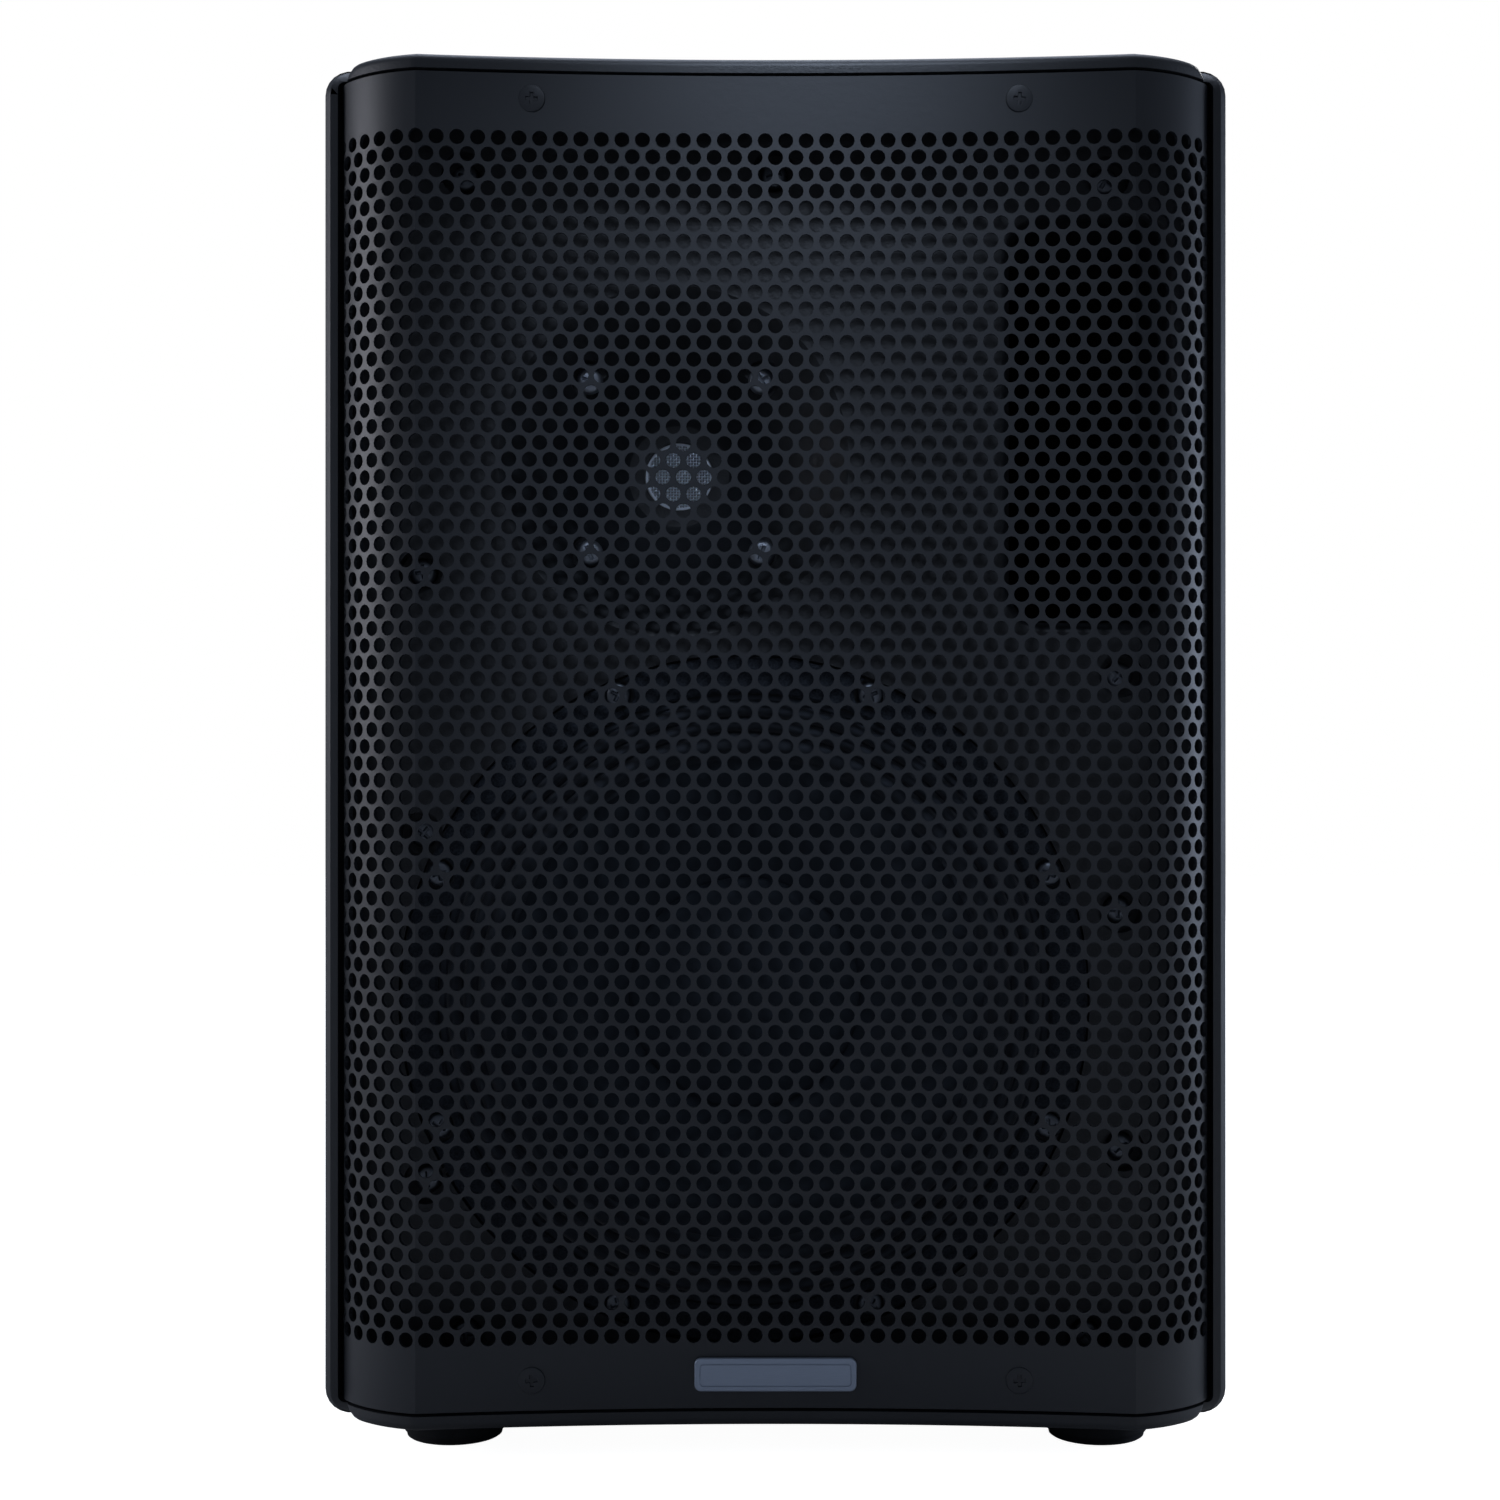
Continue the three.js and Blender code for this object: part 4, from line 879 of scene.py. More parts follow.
screwShapes = {
    "grille": {"head": 4.0, "high": 2.2, "shank": 2.0, "long": 1.5, "arm": 0.44,
               "dome": [(0.88, 1.0), (0.97, 0.96), (1.0, 0.88), (1.0, 0.0)]},
    "woofer": {"head": 4.0, "high": 2.6, "shank": 2.0, "long": 1.5},
    "shell": {"head": 4.4, "high": 2.8, "shank": 2.2, "long": 2},
    "driver": {"head": 4.2, "high": 2.6, "shank": 2.2, "long": 2},
    "panel": {"head": 3.2, "high": 1.5, "shank": 1.6, "long": 1},
    "plate": {"head": 2.6, "high": 0.9, "shank": 1.3, "long": 0.7},
}
panHead = [(0.42, 1.0), (0.66, 0.95), (0.84, 0.80), (0.95, 0.56), (1.0, 0.26), (1.0, 0.0)]
screwMeshes = {}


# A pan head with a cross recess. Its seat is at y = 0 and it faces -Y.
def screwMesh(kind):
    if kind not in screwMeshes:
        size = screwShapes[kind]
        radius, high = size["head"], size["high"]
        dome = [(radius * r, -high * h) for r, h in size.get("dome", panHead)]
        outline = [(0, -high * 1.01)] + dome
        outline += [(size["shank"], 0), (size["shank"], size["long"]), (0, size["long"])]
        head = spin("screw", outline, sides=40)
        arm, half = radius * size.get("arm", 0.56), radius * 0.13
        levels = [(-high - 1, 0.12), (-high * 0.98, 0.05), (-high * 0.3, -half * 0.45)]
        for wide, tallness in ((arm, half), (half, arm)):
            def slotAt(grow):
                return roundRect(2 * wide + 2 * grow, 2 * tallness + 2 * grow, 0.05, (0, 0), 2)
            shape(head, cut=[stack("tool", slotAt, levels)])
        screwMeshes[kind] = head.data
        bpy.data.objects.remove(head)
    return screwMeshes[kind]


def addScrew(name, kind, place, turn=0.0, backwards=False, stands=(), finish="screw"):
    made = bpy.data.objects.new(name, screwMesh(kind).copy())
    bpy.context.scene.collection.objects.link(made)
    made.data.transform(Matrix.Rotation(math.radians(turn), 4, "Y"))
    if backwards:
        made.data.transform(Matrix.Rotation(math.pi, 4, "Z"))
    made.data.transform(Matrix.Translation(Vector(place) * mm))
    return finishPiece(made, finish, stands=stands, sharp=35)


def turnOf(index, seed):
    return (index * 47 + seed * 31) % 90


for i, spot in enumerate(grilleScrews["places"], 1):
    low, _ = boxOf("grille_screw_%d" % i)
    addScrew("grilleScrew%d" % i, "grille", (spot.x, low.y + 2.2, spot.z), 4 * i - 10,
             stands=["grille_screw_%d" % i], finish="grille")
for i, (x, z) in enumerate(screwPockets["places"]):
    addScrew("shellScrew%d" % (i + 1), "shell", (x, baffle + screwPockets["depth"], z),
             turnOf(i, 1), finish="dullZinc")
for i, (x, z) in enumerate(driverScrewPlaces()):
    addScrew("driverScrew%d" % (i + 1), "driver", (x, baffle + hornFlare["pocketFloor"], z),
             turnOf(i, 2), finish="zinc")

badge = {"round": 0.45, "corner": 2.0, "groove": 0.35, "inset": 1.5}


def addBadge():
    low, high = boxOf("badge")
    size, centre = (high.x - low.x, high.z - low.z), ((low.x + high.x) / 2, (low.z + high.z) / 2)
    plate = slab("badgePlate", size, badge["corner"], centre, (low.y, high.y), badge["round"], 0)
    # A shallow line runs round the plate just inside its edge.
    inset = badge["inset"]
    outer = roundRect(size[0] - 2 * inset, size[1] - 2 * inset, 1.2, centre)
    inner = roundRect(size[0] - 2 * inset - 0.8, size[1] - 2 * inset - 0.8, 0.8, centre)
    floorY = low.y + badge["groove"]
    groove = loft("tool", [[(x, y, z) for x, z in line] for line, y in (
        (outer, low.y - 1), (outer, floorY), (inner, floorY), (inner, low.y - 1))], loop=True)
    shape(plate, cut=[groove])
    finishPiece(plate, "badge", stands=["badge"], sharp=35, weighted=True)


addBadge()

footShape = [(0, 0.4), (11.2, 0.4), (11.6, 0), (14.0, 0), (14.5, 0.35), (14.7, 1.4), (15.3, 2.0),
             (15.5, 3.0), (15.5, 8.2),
             (15.2, 8.9), (14.5, 9.2), (4, 9.2), (4, 13.5), (0, 13.5)]
for node in ("front_left_foot", "front_right_foot", "rear_left_foot", "rear_right_foot"):
    spot = middleOf(node)
    words = node.split("_")
    finishPiece(spin(words[0] + words[1].title() + "Foot", footShape, (spot.x, spot.y), "Z", 72),
                "foot",
                stands=[node], sharp=40)
print("screws, badge and feet made")

# Woofer

woofer = {
    "centre": (wooferX, wooferZ), "face": baffle + 2.5,
    "basket": 105, "gasketIn": 93.8, "screwCircle": 100.9, "screws": 8, "sectors": 12,
    "cone": [(76.3, 0), (68, 3.6), (60, 7.4), (46, 14.6), (36, 20.2), (28, 24.9), (20.6, 29.4)],
    "roll": [(93.4, 0), (92.0, 0), (91.6, 0.5), (91.2, 0.4), (90.7, -1.0), (89.9, -2.3), (89.0, -2.8),
             (88.0, -2.3), (87.2, -1.0),
             (86.8, 0.3), (86.5, 0.5), (86.2, 0.3), (85.8, -1.0), (85.1, -2.3), (84.2, -2.8),
             (83.3, -2.3), (82.6, -1.0), (82.2, 0.3),
             (81.9, 0.5), (81.6, 0.3), (81.1, -1.2), (80.2, -2.8), (78.6, -3.5), (77.0, -2.8),
             (75.8, -1.2), (75.0, 0.2), (74.4, 0.6),
             (73.6, 0.8)],
    "cap": [(36.4, 0), (36.2, -1.4), (35.5, -2.6), (34.0, -3.7), (30, -5.6), (21, -8.3), (10, -9.8),
            (0, -10.2)],
}


def wooferScrewPlaces():
    turns = [math.pi / woofer["screws"] + i * 2 * math.pi / woofer["screws"]
             for i in range(woofer["screws"])]
    return [(wooferX + woofer["screwCircle"] * math.cos(t),
             wooferZ + woofer["screwCircle"] * math.sin(t)) for t in turns]


# Both sides of a thin pressed part, as one closed outline.
def pressed(line, thick, face):
    return [(r, face + y) for r, y in line] + [(r, face + y + thick) for r, y in reversed(line)]


def addWoofer():
    face, centre, rim = woofer["face"], woofer["centre"], woofer["basket"]
    seat = boxOf("woofer_top_plate")[0].y - 0.3
    ledge = seat - 13.7
    outline = [(rim, face), (rim, face + 1.2), (90.3, face + 1.2), (88, face + 6.5), (79, ledge - 8),
               (70, ledge), (60, ledge),
               (58, seat), (30, seat), (30, seat - 1.6), (56.3, seat - 1.6), (57.5, ledge - 1.5),
               (69, ledge - 1.5),
               (77.6, ledge - 9), (86.2, face + 5.7), (91.8, face)]
    basket = spin("wooferBasket", outline, centre, sides=128)
    windows = []
    for i in range(6):
        window = slab("tool", (40, 52), 8, (85, 0), (face + 10.7, face + 37.7))
        window.data.transform(Matrix.Translation(Vector((wooferX, 0, wooferZ)) * mm)
                              @ Matrix.Rotation(i * math.pi / 3, 4, "Y"))
        windows.append(window)
    holes = [disc("tool", 2.3, spot, (face - 1, face + 3), sides=24) for spot in wooferScrewPlaces()]
    shape(basket, cut=windows + holes)
    finishPiece(basket, "basket", stands=["woofer_basket"], sharp=35)

    low, high = face - 2.9, face - 0.3
    gasket = spin("wooferGasket", [(woofer["gasketIn"], high), (rim, high), (rim, low + 0.8),
                                   (rim - 0.8, low), (woofer["gasketIn"] + 0.8, low),
                                   (woofer["gasketIn"], low + 0.8)], centre, sides=128)
    shape(gasket, cut=[disc("tool", 5, spot, (baffle - 5, baffle + 9), sides=32)
                       for spot in wooferScrewPlaces()])
    finishPiece(gasket, "gasket", stands=["woofer_gasket"], sharp=35)
    for i in range(1, woofer["screws"] + 1):
        low, high = boxOf("woofer_screw_%d" % i)
        addScrew("wooferScrew%d" % i, "woofer",
                 ((low.x + high.x) / 2, face - 0.3, (low.z + high.z) / 2), turnOf(i, 5),
                 stands=["woofer_screw_%d" % i], finish="dullZinc")

    line = smoothLine(woofer["cone"], 5)
    finishPiece(spin("wooferCone", pressed(line, 1.0, face), centre, sides=128), "cone",
                "cone_assembly",
                ["woofer_cone"], sharp=40)
    cap = smoothLine(woofer["cap"], 5)
    capBack = boxOf("woofer_dust_cap")[1].y
    finishPiece(spin("dustCap", pressed(cap, 0.8, capBack - 0.8), centre, sides=128), "cone",
                "cone_assembly",
                ["woofer_dust_cap"], sharp=40)


# A thin annular part between the frame and the cone, made as separate sectors of one turned section.
def addSuspension(name, line, thick, face, finish, node):
    count, steps = woofer["sectors"], 12
    sweep = 2 * math.pi / count
    for i in range(count):
        start = i * sweep
        part = spin("%s%d" % (name, i + 1), pressed(line, thick, face), woofer["centre"], sides=steps,
                    part=(start, sweep))
        coat(part.data, finish, 40)
        turn = start + sweep / 2
        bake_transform(part)
        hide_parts(node)


addWoofer()
addSuspension("surround", smoothLine(woofer["roll"], 2), 0.6, woofer["face"] - 0.9, "surround",
              "woofer_surround")
spiderWaves = [(67, 0), (60, 0), (58, 0), (55.5, -0.4), (53, -1.6), (50, -0.4), (46, 1.2), (42.5, 0),
               (39, -1.6), (35.5, -0.2), (32, 1.2),
               (28.5, 0), (25, -0.8), (20.2, -0.8)]
spiderFace = boxOf("woofer_spider")[1].y - 1.2 - 0.8
addSuspension("spider", smoothLine(spiderWaves, 2), 0.6, spiderFace, "spider",
              "woofer_spider")
print("woofer made")

# Horn driver's screen

screenWeave = {"pitch": 0.92, "wire": 0.17, "sides": 6, "rim": 0.7}


# Two crossed sets of wavy wires inside a thin rim.
def addScreen():
    low, high = boxOf("throat_screen")
    radius, level = (high.x - low.x) / 2, (low.y + high.y) / 2
    pitch, wire, sides = screenWeave["pitch"], screenWeave["wire"], screenWeave["sides"]
    parts = []
    reach = radius - screenWeave["rim"] + 0.15
    count = int(reach / pitch)
    for across in (False, True):
        for i in range(-count, count + 1):
            offset = i * pitch
            half = math.sqrt(reach ** 2 - offset ** 2)
            pieces = max(2, int(2 * half / (pitch / 4)))
            rings = []
            for k in range(pieces + 1):
                along = -half + 2 * half * k / pieces
                lift = wire * math.cos(along / pitch * math.pi + (i + across) * math.pi)
                ring = []
                for n in range(sides):
                    turn = 2 * math.pi * n / sides
                    side, out = offset + wire * math.cos(turn), level + lift + wire * math.sin(turn)
                    ring.append((hornX + along, out, hornZ + side) if across
                                else (hornX + side, out, hornZ + along))
                rings.append(ring)
            parts.append(loft("wire", rings))
    rim = [(radius, low.y), (radius, high.y), (radius - screenWeave["rim"], high.y),
           (radius - screenWeave["rim"], low.y)]
    parts.append(spin("rim", rim, (hornX, hornZ), sides=96))
    finishPiece(gather("throatScreen", parts), "screen", stands=["throat_screen"],
                sharp=50)


addScreen()

# Port, pole socket and insert

def addFittings():
    low, high = boxOf("port_duct")
    wide, tallPort = port["size"]
    wall = port["wall"]

    def outlineAt(grow):
        return roundRect(wide + 2 * grow, tallPort + 2 * grow, port["corner"] + grow, port["centre"],
                         10)
    line = [(0, low.y), (wall + 1, low.y), (wall + 1, low.y + 3), (wall, low.y + 3), (wall, high.y - 1),
            (wall - 0.8, high.y), (0.6, high.y),
            (0, high.y - 0.6)]
    rings = [[(x, y, z) for x, z in outlineAt(grow)] for grow, y in line]
    finishPiece(loft("portDuct", rings, loop=True), "shell", stands=["port_duct"],
                sharp=35, weighted=True)
    outline = [(18, 7.0), (18.8, 6.2), (29.5, 6.2), (30, 6.7), (30, 8.8), (29.6, 9.2), (22, 9.2),
               (22, 78.1), (20.6, 79.5), (0, 79.5),
               (0, 75.5), (18, 75.5)]
    finishPiece(spin("poleSocket", outline, (poleX, poleY), "Z", 96), "shell",
                stands=["pole_socket"], sharp=35)
    low, high = boxOf("top_insert")
    thread = [(5, high.z), (4.0, high.z - 0.9)]
    level = high.z - 0.9
    while level > low.z + 4:
        thread += [(3.55, level - 0.45), (4.0, level - 0.9)]
        level -= 0.9
    outline = [(0, low.z), (5.6, low.z), (6, low.z + 0.4), (6, high.z - 0.3),
               (5.7, high.z)] + thread + [(4.0, low.z + 3), (0, low.z + 3)]
    finishPiece(spin("topInsert", outline, (0, poleY), "Z", 48), "brass",
                stands=["top_insert"], sharp=25)


addFittings()
print("port and fittings made")

# Amplifier panel

panelFace = back - rear["panel"]["setback"]
panelBack = panelFace - rear["panel"]["thick"]
gap = 0.3
jack = {"plate": (26, 31, 1.8), "radius": 11.8, "deep": 17, "bore": 3.5, "dish": 9.2, "pinHoles": 1.5,
        "pinCircle": 6.2}
inlet = {"plate": (31, 25, 1.8), "cavity": (24.4, 16.6, 17), "cutCorner": 4.2}
switch = {"plate": (19, 28, 1.8), "throat": (11.8, 20.4), "wall": 1.5, "crown": 4.2, "rise": 1.35,
          "curve": 1.6, "off": -11, "pivot": 123.5}
heatSink = {"base": 3, "fins": 13, "finThick": 2.0}


def spotOf(node):
    spot = middleOf(node)
    return (spot.x, spot.z)


knobNodes = {"presetKnob": "preset_knob", "gainKnobA": "gain_knob_a", "gainKnobB": "gain_knob_b"}
inputNodes = {"inputJackA": "input_jack_a", "inputJackB": "input_jack_b"}
knobSpots = {name: spotOf(node) for name, node in knobNodes.items()}
inputSpots = {name: spotOf(node) for name, node in inputNodes.items()}
mixSpot, auxSpot = spotOf("mix_output_jack"), spotOf("aux_jack")
inletSpot, switchSpot = spotOf("power_inlet"), spotOf("power_switch_frame")
slotSpot = (0, 234.7)
ledSpots = {
    "powerLight": ((0, 262), "greenLens"),
    "signalLightA": ((-46, 232), "greenLens"), "peakLightA": ((-26, 232), "redLens"),
    "signalLightB": ((26, 232), "greenLens"), "peakLightB": ((46, 232), "redLens"),
}
panelScrewSpots = [(side * 65.6, z) for side in (-1, 1)
                   for z in (68, 126, 184, 242, 302)] + [(0, 306.6), (0, 63.4)]
marks = {
    "from": -0.05, "to": 0.06, "line": 0.4, "tick": 0.45, "long": 2.6, "short": 1.7, "arc": 10.2,
    "tickFrom": 11.2,
    "halfTurns": {"presetKnob": 60, "gainKnobA": 150, "gainKnobB": 150},
    "counts": {"presetKnob": 5, "gainKnobA": 11, "gainKnobB": 11},
    "frame": (33, 39, 4), "frameLine": 0.35, "rules": (154.5, 301.5, 97.6), "ruleLong": 118,
}


def windowTool(spot, size, corner=0.4):
    return slab("tool", size, corner, spot, (panelBack - 1, panelFace + 1))


def addPanel():
    panel = rear["panel"]
    plate = slab("ampPanel", (panel["wide"], panel["high"]), panel["corner"], (0, panel["centre"]),
                 (panelBack, panelFace), 0, 0.5)
    through = (panelBack - 1, panelFace + 1)
    cuts = [disc("tool", 3.6, spot, through, sides=48) for spot in knobSpots.values()]
    cuts += [disc("tool", jack["radius"] + gap, spot, through, sides=64)
             for spot in (*inputSpots.values(), mixSpot)]
    cuts += [disc("tool", 4.3, auxSpot, through, sides=40), windowTool(slotSpot, (5.6, 9.6)),
             windowTool(inletSpot, (29, 21.2)), windowTool(switchSpot, (15.4, 24))]
    cuts += [disc("tool", 1.5, spot, through, sides=24) for spot, _ in ledSpots.values()]
    shape(plate, cut=cuts)
    finishPiece(plate, "panel", stands=["amp_panel"], sharp=30, weighted=True)


# Lines and marks of ink, a hair above the paint.
def addMarks():
    low, high = panelFace + marks["from"], panelFace + marks["to"]
    parts = []

    def bar(x, z, wide, tallness, turn=0.0):
        made = slab("mark", (wide, tallness), 0.15, (0, 0), (low, high), corners=2, count=1)
        made.data.transform(Matrix.Translation(Vector((x, 0, z)) * mm)
                            @ Matrix.Rotation(-math.radians(turn), 4, "Y"))
        parts.append(made)

    def arc(spot, radius, start, end, wide=0.35):
        count = max(4, int(abs(end - start) / 6))
        rings = []
        for i in range(count + 1):
            turn = math.radians(start + (end - start) * i / count)
            cos, sin = math.cos(turn), math.sin(turn)
            rings.append([(spot[0] + r * cos, y, spot[1] + r * sin) for r, y in (
                (radius, low), (radius + wide, low), (radius + wide, high), (radius, high))])
        parts.append(loft("mark", rings))
    for name, (x, z) in knobSpots.items():
        count, half = marks["counts"][name], marks["halfTurns"][name]
        for i in range(count):
            turn = 90 + half - 2 * half * i / (count - 1)
            long = marks["long" if i in (0, count // 2, count - 1) else "short"]
            reach, rad = marks["tickFrom"] + long / 2, math.radians(turn)
            bar(x + reach * math.cos(rad), z + reach * math.sin(rad), long, marks["tick"], turn)
        arc((x, z), marks["arc"], 90 - half, 90 + half)
    wide, tall, corner = marks["frame"]
    line = marks["frameLine"]
    for x, z in inputSpots.values():
        outer = roundRect(wide, tall, corner, (x, z), 6)
        inner = roundRect(wide - 2 * line, tall - 2 * line, corner - line, (x, z), 6)
        parts.append(loft("mark", [[(a, y, c) for a, c in edge] for edge, y in (
            (outer, low), (outer, high), (inner, high), (inner, low))], loop=True))
        bar(x, z + 25.5, marks["line"], 10)
    for z in marks["rules"]:
        bar(0, z, marks["ruleLong"], marks["line"])
    for x in (-10, 10):
        bar(x, slotSpot[1], 4, marks["line"])
    for spot, _ in ledSpots.values():
        arc(spot, 2.5, 0, 360, 0.3)
    finishPiece(gather("panelMarks", parts), "ink", sharp=40)


# Fluted grip on a skirt and shaft, turned about its own centre.
def addKnob(name, node, spot, start):
    sides = 120
    levels = [(panelBack - 5, 3.0, 0), (start + 0.2, 3.0, 0), (start, 7.3, 0), (start + 0.2, 7.5, 0),
              (start + 1.3, 7.5, 0),
              (start + 1.7, 7.1, 0), (start + 1.9, 6.3, 0.12), (start + 3.0, 6.15, 0.28),
              (start + 8.6, 5.5, 0.28), (start + 9.7, 5.2, 0.2),
              (start + 10.3, 4.8, 0.05), (start + 10.5, 4.2, 0)]
    rings = []
    for y, radius, flute in levels:
        ring = []
        for i in range(sides):
            turn = 2 * math.pi * i / sides
            r = radius - flute * (1 + math.cos(turn * 20))
            ring.append((spot[0] + r * math.cos(turn), y, spot[1] + r * math.sin(turn)))
        rings.append(ring)
    finishPiece(loft(name, rings), "knob", node, [node], sharp=38)
    line = slab(name + "Pointer", (0.9, 5.2), 0.4, (spot[0], spot[1] + 3.6),
                (start + 2.2, start + 10.9), 0, 0.25, corners=3)
    finishPiece(line, "ink", node, sharp=40)


def facePlate(name, size, spot, corner=3.0):
    wide, high, thick = size
    return slab(name, (wide, high), corner, spot, (panelFace + gap, panelFace + gap + thick), 0, 0.5)


def plateScrews(name, spot, size, inset=3.4):
    wide, high, thick = size
    for i, (sx, sz) in enumerate(((-1, 1), (1, -1))):
        place = (spot[0] + sx * (wide / 2 - inset), panelFace + gap + thick,
                 spot[1] + sz * (high / 2 - inset))
        addScrew("%sScrew%d" % (name, i + 1), "plate", place, 20 + 50 * i,
                 backwards=True)


def pinPlaces(spot, radius, turns):
    return [(spot[0] + radius * math.cos(math.radians(t)), spot[1] + radius * math.sin(math.radians(t)))
            for t in turns]


# Socket for a microphone plug or a jack plug.
def addInput(name, node, spot):
    face = panelFace + gap + jack["plate"][2]
    body = facePlate(name, jack["plate"], spot)
    barrel = disc("tool", jack["radius"], spot, (panelBack - jack["deep"], face + 0.6), 0, 0.4)
    dish = disc("tool", jack["dish"], spot, (face - 2.6, face + 2), sides=72)
    bore = spin("tool", [(0, panelBack - 14), (jack["bore"], panelBack - 14),
                         (jack["bore"], face - 3.2), (4.6, face - 2.4), (4.6, face),
                         (0, face)], spot, sides=48)
    holes = [disc("tool", jack["pinHoles"], place, (face - 12, face), sides=24)
             for place in pinPlaces(spot, jack["pinCircle"], (35, 145, 270))]
    key = block("tool", (spot[0] - 1.3, spot[0] + 1.3), (face - 2.6, face + 2),
                (spot[1] + 8.2, spot[1] + 10.4))
    shape(body, [barrel], [dish, bore, *holes, key])
    finishPiece(body, "connector", stands=[node], sharp=35)
    collar = spin(name + "Collar", [(4.6, face - 2.5), (5.3, face - 2.5), (5.3, face - 1.4),
                                    (4.9, face - 1.1), (4.6, face - 1.4)], spot, sides=64)
    finishPiece(collar, "steel", sharp=40)
    tab = slab(name + "Latch", (6.4, 3.4), 0.9, (spot[0], spot[1] + 13.2), (face - 0.2, face + 1.3), 0,
               0.4)
    finishPiece(tab, "knob", sharp=35)
    plateScrews(name, spot, jack["plate"], 2.9)


# Three-pin cup for a cable socket.
def addMixOutput():
    face = panelFace + gap + jack["plate"][2]
    body = facePlate("mixOutputJack", jack["plate"], mixSpot)
    barrel = disc("tool", jack["radius"], mixSpot, (panelBack - jack["deep"], face + 0.6), 0, 0.4)
    cup = disc("tool", 9.4, mixSpot, (face - 15, face + 2), sides=72)
    key = block("tool", (mixSpot[0] - 1.5, mixSpot[0] + 1.5), (face - 12, face + 2),
                (mixSpot[1] - 10.6, mixSpot[1] - 8.6))
    shape(body, [barrel], [cup, key])
    finishPiece(body, "connector", stands=["mix_output_jack"], sharp=35)
    pins = [disc("pin", 1.2, place, (face - 15.5, face - 5), 0, 0.9, sides=24)
            for place in pinPlaces(mixSpot, 3.8, (90, 210, 330))]
    finishPiece(gather("mixOutputPins", pins), "steel", sharp=40)
    plateScrews("mixOutput", mixSpot, jack["plate"], 2.9)


def addAux():
    face = panelFace + gap + 1.2
    ring = [(1.8, face + 0.1), (2.1, face + 0.3), (3.6, face + 0.3), (4.0, face), (5.6, face),
            (6, face - 0.4), (6, panelFace + gap),
            (4, panelFace + gap), (4, panelBack - 9), (0, panelBack - 9), (0, panelBack - 7),
            (1.8, panelBack - 7)]
    finishPiece(spin("auxJack", ring, auxSpot, sides=72), "connector",
                stands=["aux_jack"], sharp=30)
    lip = [(1.8, face + 0.12), (2.0, face + 0.42), (3.3, face + 0.42), (3.6, face + 0.1)]
    finishPiece(spin("auxJackRing", lip, auxSpot, sides=64), "steel", sharp=40)


def addInlet():
    wide, high, deep = inlet["cavity"]
    face = panelFace + gap + inlet["plate"][2]
    body = facePlate("powerInlet", inlet["plate"], inletSpot)
    housing = slab("tool", (wide + 4, high + 4), 3, inletSpot, (face - deep - 2.5, face))
    cut = inlet["cutCorner"]
    x, z = inletSpot
    outline = [(x - wide / 2 + cut, z + high / 2), (x - wide / 2, z + high / 2 - cut),
               (x - wide / 2, z - high / 2),
               (x + wide / 2, z - high / 2), (x + wide / 2, z + high / 2 - cut),
               (x + wide / 2 - cut, z + high / 2)]
    cavity = loft("tool", [[(a, y, c) for a, c in outline] for y in (face - deep, face + 1)])
    shape(body, [housing], [cavity])
    finishPiece(body, "connector", stands=["power_inlet"], sharp=35)
    blades = [slab("blade", (2, 4), 0.4, (x + dx, z + dz), (face - deep - 1, face - 5.5), 0, 0.6)
              for dx, dz in ((-7, -2), (0, 2), (7, -2))]
    finishPiece(gather("inletBlades", blades), "steel", sharp=35)
    for i, side in enumerate((-1, 1)):
        addScrew("inletScrew%d" % (i + 1), "plate", (x + side * 13.2, face, z - 9.6),
                 15 + 40 * i, backwards=True)


